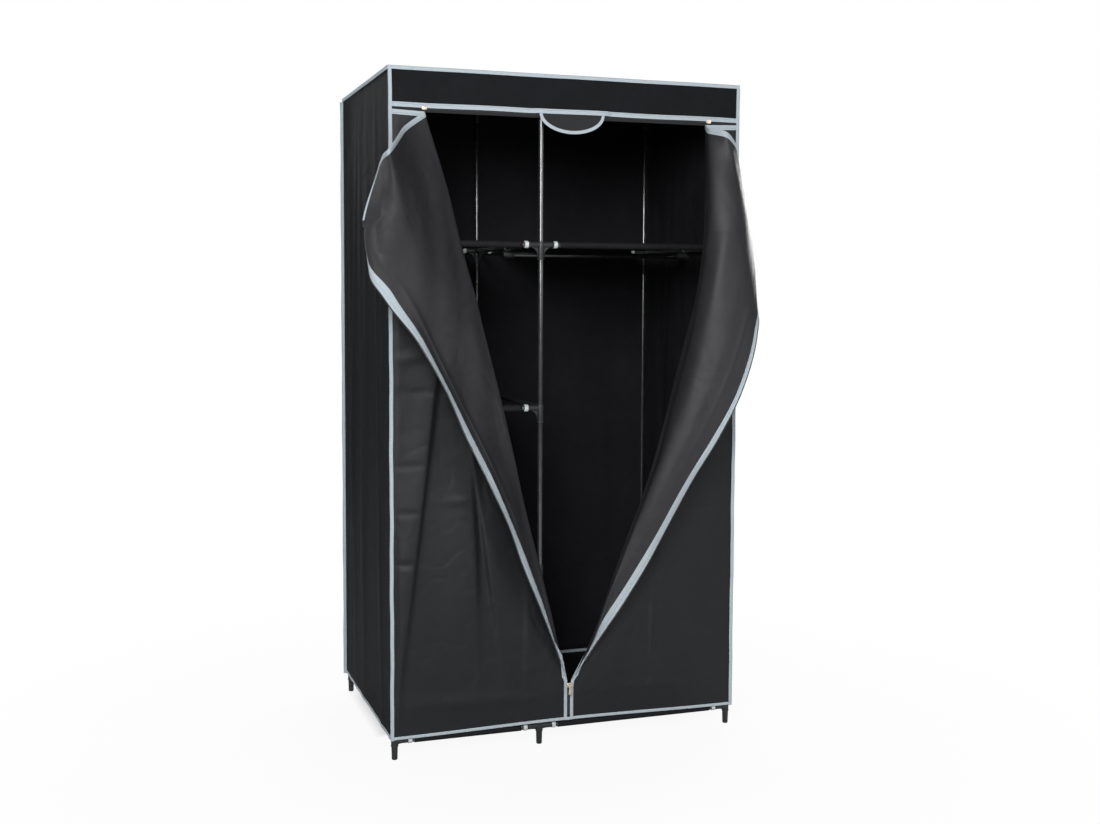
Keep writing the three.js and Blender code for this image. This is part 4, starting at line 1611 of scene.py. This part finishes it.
    def surface(self, down: Array, s: Array) -> Array:
        """Return points of the door above the end of the open zip.

        Up to column 1 the row is straight at the front plane; from 1 to 2 it
        is a cubic Bezier hairpin round the fold; from 2 to 3 it is the flap.

        Args:
            down: Row places, one dimension.
            s: Column places, one dimension.

        Returns:
            Array of len(down) by len(s) by 3.
        """
        sign = self.sign
        fold = self.flap(down, np.zeros_like(down))
        reach = self.reach(down)
        after = np.minimum(self.roll, 0.42 * reach)
        place = after / reach
        join = self.flap(down, place)
        ahead = unit(self.flap(down, np.minimum(place + 0.02, 1.0)) - join)
        panel_width = self.corner - sign * fold[:, 0]
        before = np.minimum(0.8 * after, 0.3 * panel_width)
        start = fold.copy()
        start[:, 0] += sign * before
        start[:, 1] = self.plane
        rise = self.panel_top - self.table[0, 0, 2]
        panel_z = fold[:, 2] + rise * (1 - down) ** 8
        first = np.clip(s, 0, 1)[None, :, None]
        corner = spread(sign * self.corner, self.plane, panel_z)
        panel = corner[:, None] + (start - corner)[:, None] * first
        room = (1 - first[..., 0]) * (self.corner - sign * start[:, :1])
        lift = self.relief(panel[..., 0], panel[..., 2])
        panel[..., 1] -= lift * ease(room / 0.03)
        t = np.clip(s - 1, 0, 1)[None, :, None]
        lead = spread(-sign * before * 1.15, 0.0, 0.0)
        h1 = (start + lead)[:, None]
        h2 = (join - ahead * (after * 1.05)[:, None])[:, None]
        turn = ((1 - t) ** 3 * start[:, None] + 3 * (1 - t) ** 2 * t * h1
                + 3 * (1 - t) * t**2 * h2 + t**3 * join[:, None])
        past = np.clip(s - 2, 0, 1)[None]
        out = place[:, None] + (1 - place[:, None]) * past
        beyond = self.creased(down[:, None], out)
        pick = s[None, :, None]
        return np.where(pick <= 1, panel, np.where(pick <= 2, turn, beyond))

    def hem_at(self, x: Array) -> Array:
        """Return the hem's height, which rises by cosine squared."""
        turn = x / self.cover.half_width * QUARTER
        return self.cover.hem + self.hem_rise * np.cos(turn) ** 2

    def skirt(self, s: Array, rows: int) -> Array:
        """Return the panel from the end of the open zip to the hem.

        Args:
            s: Column places from 0, the corner, to 1, the centre edge.
            rows: Number of rows.

        Returns:
            Array of rows by len(s) by 3, its first row that of the panel.
        """
        top = self.surface(np.array([1.0]), s)[0]
        share = np.linspace(0, 1, rows)[:, None]
        corner, inner = self.sign * self.corner, self.sign * self.edge_gap
        low_x = corner + (inner - corner) * s
        x = top[:, 0] + (low_x - top[:, 0]) * ease(share * 5)
        z = top[:, 2] + (self.hem_at(x) - top[:, 2]) * share
        lift = self.relief(x, z) * ease((1 - s) / 0.08)
        inset = (top[:, 1] - self.plane) * (1 - ease(share * 5))
        y = self.plane + inset * (s > 0.97) - lift
        y = np.where(share > 0, y, top[:, 1])
        return spread(x, y, z)

    def hinge(self, piece: bpy.types.Object) -> bpy.types.Object:
        """Bake the piece's place into its mesh.

        Args:
            piece: The finished object.

        Returns:
            The same object.
        """
        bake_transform(piece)
        return piece

    def build(self) -> None:
        """Build the door's cloth with its bindings and its zip coil."""
        name, finishes = self.side.word, self.cover.finishes
        down = np.concatenate([np.linspace(0, 0.02, 5)[:-1],
                               np.linspace(0.02, 1.0, 190)])
        panel_s = np.linspace(0, 1, 100)
        s = np.concatenate([panel_s, np.linspace(1, 2, 11)[1:],
                            3 - (1 - np.linspace(0, 1, 76)[1:]) ** 1.25])
        cloth, skirt = ((points, spread(across(points), points[:, :1, 2]))
                        for points in (self.surface(down, s),
                                       self.skirt(panel_s, 26)))
        # The flaps show the inside face, whose lighter colour is partly painted
        # light and sheen.
        faces = [finishes.cover, finishes.facing][::self.sign]
        piece = sheet_piece(f"door_{name}", *cloth, faces,
                            self.cover.thickness, weld=2e-5, skirt=skirt)
        self.hinge(piece)
        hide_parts(f"front_panel_{name}", f"door_flap_{name}")
        self.trim()
        self.coil()

    def edge_strip(self, width: Array, start: float, end: float) -> Array:
        """Return the strip of flap along its free edge.

        Across place k of the strip lies k * width from the edge.

        Args:
            width: The strip's width, one for each row.
            start: Row place at which it starts.
            end: Row place at which it ends.

        Returns:
            Array of len(width) by 6 by 3.
        """
        down = np.linspace(start, end, len(width))[:, None]
        share = width * np.linspace(0, 1, 6)[None, :] / self.reach(down)
        return self.creased(down, np.clip(1 - share, 0, 1))

    def lower_wrap(self) -> Array:
        """Return the tape wrapped over the fold at the zip's lower end.

        Row by row it covers more of the cloth from the fold outward; its
        points are read off the surface between the nearest columns.

        Returns:
            Array of rows by columns by 3.
        """
        columns = np.linspace(0.975, 2.4, 200)
        grown = np.linspace(0, 1, 20)[:, None]
        spare = 0.042 * grown**0.7
        wide = 0.16 + 1.14 * grown + spare
        wanted = 1.02 - spare + wide * np.linspace(0, 1, 8)
        place = (wanted - columns[0]) / (columns[1] - columns[0])
        low, row = place.astype(int), np.arange(20)[:, None]
        share = (place - low)[..., None]
        wrap = self.surface(np.linspace(0.945, 0.993, 20), columns)
        return wrap[row, low] * (1 - share) + wrap[row, low + 1] * share

    def trim(self) -> bpy.types.Object:
        """Build the tapes on the door's four edges as one piece.

        Returns:
            The finished object.
        """
        sign, c = self.sign, self.cover
        s = np.concatenate([np.linspace(0.03, 1, 24),
                            np.linspace(1, 2, 12)[1:],
                            np.linspace(2, 3, 60)[1:]])
        deep = 0.001 / np.linalg.norm(self.table[0, 0] - self.table[1, 0])
        top = self.surface(np.linspace(0, deep, 5), s)
        top[0, :, 2] += 0.0008
        tapes = [np.swapaxes(top, 0, 1)]
        if self.zip_from > 0:
            thin = np.linspace(0.010, 0.0045, 40)[:, None]
            tapes.append(self.edge_strip(thin, 0.0, self.tuck[0]))
        rows = np.linspace(self.zip_from, self.zip_end, 240)[:, None]
        width = self.zip_tape * (1 - self.slim * ease((0.60 - rows) / 0.25))
        tapes.append(self.edge_strip(width, self.zip_from, self.zip_end))
        tapes.append(self.lower_wrap())
        plane = -c.half_depth - 0.0005
        end = self.flap(np.linspace(1.0, 0.99, 9), np.zeros(9))
        rise = np.linspace(self.hem_at(0.009), end[-1, 2], 30)
        fold = sign * end[:, 0] - 0.0012
        inner = np.interp(rise, [self.open_low - 0.018, *end[:, 2]],
                          [self.edge_gap - 0.0003, *fold])[:, None]
        wide = (0.0080 + 0.0030 * ease((rise - 0.148) / 0.016))[:, None]
        step = np.linspace(0, 1, TAPE_COLUMNS)
        tapes.append(spread(sign * (inner + wide * step), plane,
                            rise[:, None]))
        x = np.linspace(sign * self.edge_gap, c.half_width - 0.0065, 90)
        x = x[:, None]
        tapes.append(spread(
            sign * x, plane - 0.0012 * ease((0.012 - x) / 0.006),
            self.hem_at(x) - 0.0006 + step * 0.8 * c.tape_width))
        shell = Shell(f"door_binding_{self.side.word}")
        for tape in tapes:
            lean = np.cross(*np.gradient(tape, axis=(0, 1)))
            shell.tape(tape, unit(lean), 0.0012)
        return self.hinge(shell.build([c.finishes.tape]))

    def coil(self) -> bpy.types.Object:
        """Build the zip coil along the flap's zipped edge.

        Its rings are evenly spaced along the edge, just outside it.

        Returns:
            The finished object.
        """
        down = np.linspace(max(self.zip_from, 0.002), self.coil_end, 670)
        path = self.flap(down, np.ones_like(down))
        inner = self.flap(down, np.clip(1 - 0.01 / self.reach(down), 0, 1))
        length = along(path)
        even = np.linspace(0, length[-1], int(length[-1] / LOOP_STEP))
        path, inner = (
            spread(*(np.interp(even, length, part) for part in line.T))
            for line in (path, inner))
        ahead = unit(np.gradient(path, axis=0))
        out = unit(path - inner)
        out = unit(out - (out * ahead).sum(1, keepdims=True) * ahead)
        shell = Shell(f"zip_coil_{self.side.word}")
        shell.loops(path + out * 0.0014, out[:, None],
                    np.cross(ahead, out)[:, None], 0.0012)
        return self.hinge(shell.build([self.cover.finishes.coil]))


@dataclass
class FrontZips:
    """The top zip's tape and sliders, the centre zip and the half-round tab.

    Attributes:
        cover: The cover's sizes and finishes.
        slider_x: Distance of the parked top sliders from the middle.
        slider_z: Height of their middle.
        centre_z: Height of the centre slider's middle.
        pin_y: Place of the pull's pin in depth.
        chain_top: Upper end of the closed chain.
        tape_y: Place of the top zip's tape in depth.
        tape_top: Its upper edge.
        tape_width: Its width.
        tab_half: Half the tab's width.
        tab_drop: How far the tab hangs.
        tab_tuck: How far it runs up behind the header's binding.
    """

    cover: CoverShell
    slider_x: float = 0.355
    slider_z: float = 1.507
    centre_z: float = 0.141
    pin_y: float = -0.300
    chain_top: float = 0.1345
    tape_y: float = -0.2880
    tape_top: float = 1.5168
    tape_width: float = 0.0196
    tab_half: float = 0.081
    tab_drop: float = 0.046
    tab_tuck: float = 0.0138

    def puck(
        self, shell: Shell, centre: Sequence, half: Sequence, depth: float,
        edge: float, power: float = 0.45,
    ) -> None:
        """Add a rounded slab whose faces look along y.

        Its outline is the superellipse half * sign(c) * |c|^power of the
        turn's cosine and sine, drawn in at both faces by a quarter round.

        Args:
            shell: The mesh.
            centre: Its middle.
            half: Half its width and half its height.
            depth: Its full thickness.
            edge: Radius of its rims.
            power: How square the outline is.
        """
        turn = np.arange(ROUND_SIDES) / ROUND_SIDES * TAU
        x, z = (np.sign(part) * np.abs(part) ** power
                for part in (np.cos(turn), np.sin(turn)))
        rim = np.linspace(0, QUARTER, 4)
        inset, step = edge * (1 - np.sin(rim)), edge * (1 - np.cos(rim))
        cut = np.concatenate([inset, inset[::-1]])[:, None]
        y = np.concatenate([-depth / 2 + step, (depth / 2 - step)[::-1]])
        shell.grid(spread(centre[0] + x * (half[0] - cut),
                          centre[1] + y[:, None],
                          centre[2] + z * (half[1] - cut)),
                   around=True, ends=True)

    def loops(
        self, shell: Shell, start: Sequence, end: Sequence, tint: int
    ) -> None:
        """Add a straight row of zip loops.

        Args:
            shell: The mesh.
            start: The row's first point.
            end: Its last point.
            tint: Number of the material.
        """
        a, b = np.asarray(start, float), np.asarray(end, float)
        rows = int(np.linalg.norm(b - a) / LOOP_STEP)
        out = np.array([0.0, 1.0, 0.0])
        shell.loops(a + (b - a) * np.linspace(0, 1, rows)[:, None], out,
                    np.cross(unit(b - a), out), 0.0008, tint)

    def top_tape(self) -> None:
        """Build the tape behind the header's edge with its row of loops."""
        f, half = self.cover.finishes, self.cover.half_width - 0.0022
        y, z, width = self.tape_y, self.tape_top, self.tape_width
        surface = strip((-half, y, z), (half, y, z), (0, 0, -width), 60)
        uv = spread(np.linspace(0, width, TAPE_COLUMNS),
                    np.linspace(0, 2 * half, 60)[:, None])
        piece = sheet_piece("top_zip_cloth", surface, uv, [f.zip_tape], 0.0007)
        settle(piece, ["top_zip_tape"])
        shell = Shell("top_zip_loops")
        y, z = y - 0.001, z - 0.0116
        self.loops(shell, (-half + 0.002, y, z), (half - 0.002, y, z), 0)
        loops = settle(shell.build([f.coil]))

    def top_slider(self, side: Side) -> None:
        """Build a parked top slider: body, bridge and stub of a pull.

        Args:
            side: Which slider.
        """
        x, z, word = side.value * self.slider_x, self.slider_z, side.word
        shell = Shell(f"top_zip_slider_{word}")
        self.puck(shell, (x, -0.29105, z), (0.006, 0.005), 0.0044, 0.0008)
        self.puck(shell, (x, -0.2939, z - 0.001), (0.0024, 0.0040), 0.0017,
                  0.0006, 0.8)
        settle(shell.build([self.cover.finishes.brass]),
               [f"top_slider_{word}"], f"{word}_top_slider")

    def centre_zip(self) -> None:
        """Build the closed zip below the centre slider."""
        f = self.cover.finishes
        low, high = self.cover.hem + 0.0155, self.chain_top
        shell = Shell("centre_zip_closed")
        shell.tape(strip((-0.0036, -0.2901, low), (-0.0036, -0.2901, high),
                         (0.0072, 0, 0), 24), (0, -1, 0), 0.0006)
        for x in (-0.0011, 0.0011):
            self.loops(shell, (x, -0.2907, low + 0.001), (x, -0.2907, high), 1)
        settle(shell.build([f.zip_tape, f.coil]), ["centre_zip_chain"])

    def centre_slider(self) -> None:
        """Build the centre slider and its hanging pull."""
        f, y, z = self.cover.finishes, self.pin_y, self.centre_z
        shell = Shell("centre_zip_slider")
        self.puck(shell, (0, -0.2948, z), (0.0064, 0.006), 0.0043, 0.0010,
                  0.55)
        self.puck(shell, (0, -0.29235, z), (0.0030, 0.0058), 0.0007, 0.0002)
        for x in (-0.00505, 0.00505):
            self.puck(shell, (x, -0.2989, z), (0.0007, 0.0026), 0.0040, 0.0003)
        shell.bar("x", (0, y, z), 0.0011, -0.0047, 0.0047, 0.0003, sides=16)
        settle(shell.build([f.brass]), ["centre_slider"],
               "centre_slider")
        shell = Shell("centre_zip_pull")
        shell.bar("x", (0, y, z), 0.0025, -0.0039, 0.0039, 0.0005, sides=20)
        y -= 0.0019
        self.puck(shell, (0, y, z - 0.0085), (0.0028, 0.0090), 0.0013, 0.0004,
                  0.8)
        self.puck(shell, (0, y, z - 0.0170), (0.0039, 0.0049), 0.0016, 0.0006,
                  0.6)
        settle(shell.build([f.brass]), ["centre_pull"],
               "centre_pull")

    def lifted(self, piece: bpy.types.Object) -> bpy.types.Object:
        """Bake the piece's place into its mesh.

        Args:
            piece: The finished object.

        Returns:
            The same object.
        """
        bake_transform(piece)
        return piece

    def tab(self) -> None:
        """Build the half-round tab and its bound edge.

        Column angle a runs half a turn: the edge is the half ellipse
        (half width * cos a, -drop * sin a) under the header's binding, and
        rows run from its chord to it. The tab bows forward below.
        """
        f, chord = self.cover.finishes, self.cover.header_low
        a = np.linspace(0, math.pi, 60)
        t = np.linspace(0, 1, 20)[:, None] ** 1.5
        x = self.tab_half * np.cos(a)
        bow = 0.0016 * ease(t) * np.sin(a) * (1 + 0.5 * np.sin(3 * a + 0.4))
        points = np.concatenate([
            spread(x * 0.99, [[-0.2882], [-0.2958]],
                   [[chord + self.tab_tuck], [chord + 0.0055]]),
            spread(x, -0.2961 - bow, chord - self.tab_drop * np.sin(a) * t)])
        piece = self.lifted(sheet_piece("zip_tab", points, points[..., ::2],
                                        [f.cover], 0.0010, weld=1e-6))
        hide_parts("zip_cover_tab")
        inward = unit(spread(-np.cos(a) * self.tab_drop, 0.0,
                             np.sin(a) * self.tab_half))
        step = np.linspace(0, 0.0078, TAPE_COLUMNS)[None, :, None]
        surface = points[-1][:, None] + inward[:, None] * step
        surface[..., 2] = np.minimum(surface[..., 2], chord)
        shell = Shell("zip_tab_binding").tape(surface, (0, -1, 0), 0.0011)
        self.lifted(shell.build([f.tape]))

    def build(self) -> None:
        """Build every zip piece and the tab."""
        self.top_tape()
        for side in Side:
            self.top_slider(side)
        self.centre_zip()
        self.centre_slider()
        self.tab()


# The studio


def facing(place: Array, right: Array, up: Array, back: Array) -> Matrix:
    """Return the matrix of a camera or lamp.

    Args:
        place: Its place in the cover's frame.
        right: Unit vector to its right.
        up: Unit vector upward.
        back: Unit vector against the way it looks.

    Returns:
        The matrix.
    """
    table = np.eye(4)
    table[:3] = np.stack([right, up, back, place + ORIGIN], 1)
    return Matrix(table.tolist())


@dataclass
class Studio:
    """Camera, floor, lamps and world.

    Attributes:
        eye: The camera's place in the cover's frame.
        yaw: Turn to the right of straight ahead.
        pitch: Tilt above the level.
        roll: Turn about the line of sight.
        focal: Focal length in pixels of a picture of picture_width.
        centre_rise: Pixels from the picture's middle up to the line of sight.
        sky: Strength of the world's light.
        lamps: Place, target, size and power in watts by name.
    """

    eye: tuple[float, float, float] = (-1.0677, -3.2667, 1.0982)
    yaw: float = 0.3292
    pitch: float = -0.0685
    roll: float = 0.00413
    focal: float = 1327.6
    picture_width: float = 1100.0
    centre_rise: float = 32.0
    sky: float = 0.16
    lamps: dict[str, tuple] = field(default_factory=lambda: {
        "key": ((-1.5, -3.2, 2.1), (0.0, -0.2, 1.0), (1.2, 1.4), 100),
        "right_fill": ((1.9, -3.0, 1.9), (0, 0, 0.9), (1.6, 1.6), 20),
        "left_side": ((-2.8, 2.0, 1.9), (0, 0, 0.9), (1.6, 1.6), 13),
        "right_side": ((2.8, 2.4, 1.9), (0, 0, 0.9), (1.6, 1.6), 90),
        "back_fill": ((0.4, 3.6, 2.2), (0, 0, 0.9), (2.4, 1.6), 85),
    })

    def camera(self) -> None:
        """Place the camera by its yaw, pitch and roll."""
        cy, sy = math.cos(self.yaw), math.sin(self.yaw)
        cp, sp = math.cos(self.pitch), math.sin(self.pitch)
        cr, sr = math.cos(self.roll), math.sin(self.roll)
        ahead = np.array([sy * cp, cy * cp, sp])
        right = np.array([cy, -sy, 0.0])
        up = np.cross(right, ahead)
        data = bpy.data.cameras.new("camera")
        data.sensor_width = 36.0
        data.lens = data.sensor_width * self.focal / self.picture_width
        data.shift_y = -self.centre_rise / self.picture_width
        camera = bpy.data.objects.new("camera", data)
        camera.matrix_world = facing(
            np.asarray(self.eye), right * cr + up * sr,
            -right * sr + up * cr, -ahead)
        bpy.context.scene.collection.objects.link(camera)
        bpy.context.scene.camera = camera

    def floor(self) -> None:
        """Lay a wide pale floor that looks white but keeps soft shadows.

        Under the wardrobe's rear it shows its own shaded colour.
        """
        side = np.linspace(-14, 14, 9)
        r = Recipe("pale floor")
        place = r.place("Object")
        mottle = r.noise(place, (3.0, 2.0, 0.5))
        r.send(r.tone(mottle, (1.0, 1.0, 1.0), 0.70, 0.72), "Base Color")
        far = r.add("VectorMath", {0: place}, operation="LENGTH")
        grown = r.add("MapRange", {0: far.outputs["Value"], 1: 0.5, 2: 1.7,
                                   3: 0.93, 4: 1.0})
        spot = r.add("SeparateXYZ", {0: place}).outputs
        out = r.math("ABSOLUTE", r.math("SUBTRACT", spot[0], ORIGIN[0]))
        ahead = r.math("SUBTRACT", spot[1], ORIGIN[1])
        inside = r.math("MINIMUM", r.math("SUBTRACT", 0.44, out),
                        r.math("MINIMUM", r.math("ADD", ahead, 0.12),
                               r.math("SUBTRACT", 0.31, ahead)))
        under = r.add("MapRange", {0: inside, 1: 0.0, 2: 0.08, 3: 1.0, 4: 0.1})
        white = r.math("MULTIPLY", grown.outputs[0], under.outputs[0])
        rays = r.add("LightPath", {}).outputs["Is Camera Ray"]
        glow = r.add("Emission", {"Strength": 1.0}).outputs[0]
        mix = r.add("MixShader", {0: r.math("MULTIPLY", rays, white),
                                  1: r.shader.outputs[0], 2: glow})
        r.links.new(mix.outputs[0], r.nodes["Material Output"].inputs[0])
        finish = r.set(Roughness=0.9, Specular_IOR_Level=0.0)
        shell = Shell("floor").grid(spread(side, side[:, None], 0.0))
        shell.build([finish], closed=False)

    def world(self) -> None:
        """Fill the world: soft sky for light, plain white to the camera."""
        world = bpy.data.worlds.new("studio")
        world.use_nodes = True
        tree = world.node_tree
        back = tree.nodes["Background"]
        white = tree.nodes.new("ShaderNodeBackground")
        for node, colour, power in ((back, (0.96, 0.98, 1.0, 1), self.sky),
                                    (white, (1, 1, 1, 1), 1.0)):
            node.inputs[0].default_value = colour
            node.inputs[1].default_value = power
        rays = tree.nodes.new("ShaderNodeLightPath")
        mix = tree.nodes.new("ShaderNodeMixShader")
        for socket, source in enumerate((rays.outputs["Is Camera Ray"],
                                         back.outputs[0], white.outputs[0])):
            tree.links.new(source, mix.inputs[socket])
        tree.links.new(mix.outputs[0], tree.nodes["World Output"].inputs[0])
        bpy.context.scene.world = world

    def lamp(
        self, name: str, place: Sequence, target: Sequence, size: Sequence,
        power: float,
    ) -> None:
        """Hang a soft rectangular lamp that looks at a target.

        Args:
            name: The lamp's name.
            place: Its place in the cover's frame.
            target: The point it looks at.
            size: Its width and height.
            power: Its power in watts.
        """
        data = bpy.data.lights.new(name, "AREA")
        data.shape = "RECTANGLE"
        data.size, data.size_y = size
        data.energy = power
        lamp = bpy.data.objects.new(name, data)
        at = np.asarray(place, float)
        back = unit(at - np.asarray(target, float))
        right = unit(np.cross([0, 0, 1.0], back))
        lamp.matrix_world = facing(at, right, np.cross(back, right), back)
        bpy.context.scene.collection.objects.link(lamp)

    def build(self) -> None:
        """Set up everything round the wardrobe."""
        self.camera()
        self.floor()
        self.world()
        for name, settings in self.lamps.items():
            self.lamp(name, *settings)
        bpy.context.scene.view_settings.view_transform = "Standard"


LEFT_CREASES = (
    (-0.380, 0.50, 0.125, 0.046, 0.0095, 0.42, 0.0125),
    (-0.243, 0.47, -0.030, 0.070, 0.0150, 0.22, 0.0135),
    (-0.2060, 0.47, -0.143, 0.0070, 0.055, 0.19, 0.0105),
    (-0.108, 0.255, 0.000, 0.006, 0.022, 0.085, 0.0045),
    (-0.228, 0.20, 0.000, 0.005, 0.020, 0.06, 0.0018),
)
LEFT_PRESSED = (
    (0.860, 0.00, -0.365, 0.040, 0.0060, -0.0036),
    (0.940, 0.08, -0.385, 0.040, 0.0120, 0.0042),
    (0.690, 0.02, -0.395, 0.040, 0.0065, -0.0028),
    (0.580, 0.00, -0.400, 0.035, 0.0065, -0.0028),
    (0.462, 0.02, -0.405, 0.035, 0.0060, -0.0040),
    (0.605, 0.03, -0.275, 0.035, 0.0080, 0.0034),
    (0.190, 0.25, -0.092, 0.022, 0.0060, 0.0026),
    (0.122, -0.03, -0.240, 0.180, 0.0180, 0.0030),
)
RIGHT_CREASES = (
    (0.214, 0.25, 0.020, 0.0040, 0.014, 0.10, 0.0042),
    (0.243, 0.42, -0.060, 0.018, 0.060, 0.16, 0.0046),
    (0.370, 0.60, 0.020, 0.050, 0.030, 0.30, 0.0034),
    (0.105, 0.17, 0.010, 0.025, 0.035, 0.09, 0.0028),
)
RIGHT_PRESSED = (
    (0.560, 0.02, 0.360, 0.060, 0.0060, -0.0020),
    (0.120, -0.04, 0.250, 0.150, 0.0120, 0.0018),
)


def main() -> None:
    """Build the wardrobe and its studio in order."""
    logging.basicConfig(level=logging.INFO, format="%(name)s: %(message)s")
    finishes = Finishes.make()
    tubes = TubeFrame(finishes)
    tubes.build()
    HangingRail(tubes).build()
    Shelves(tubes).build()
    cover = CoverShell(finishes)
    cover.build()
    Door(Side.LEFT, LEFT_FLAP_SHARES, LEFT_CREASES, LEFT_PRESSED,
         cover).build()
    Door(Side.RIGHT, RIGHT_FLAP_SHARES, RIGHT_CREASES, RIGHT_PRESSED, cover,
         tuck=(-0.02, -0.01, 0.165, 0.26), tuck_inset=0.015,
         valley=(0.032, 0.016, 0.0085), wave=0.35, slim=0.5, zip_tape=0.0185,
         zip_from=0.0).build()
    FrontZips(cover).build()
    Studio().build()


if __name__ == "__main__":
    main()
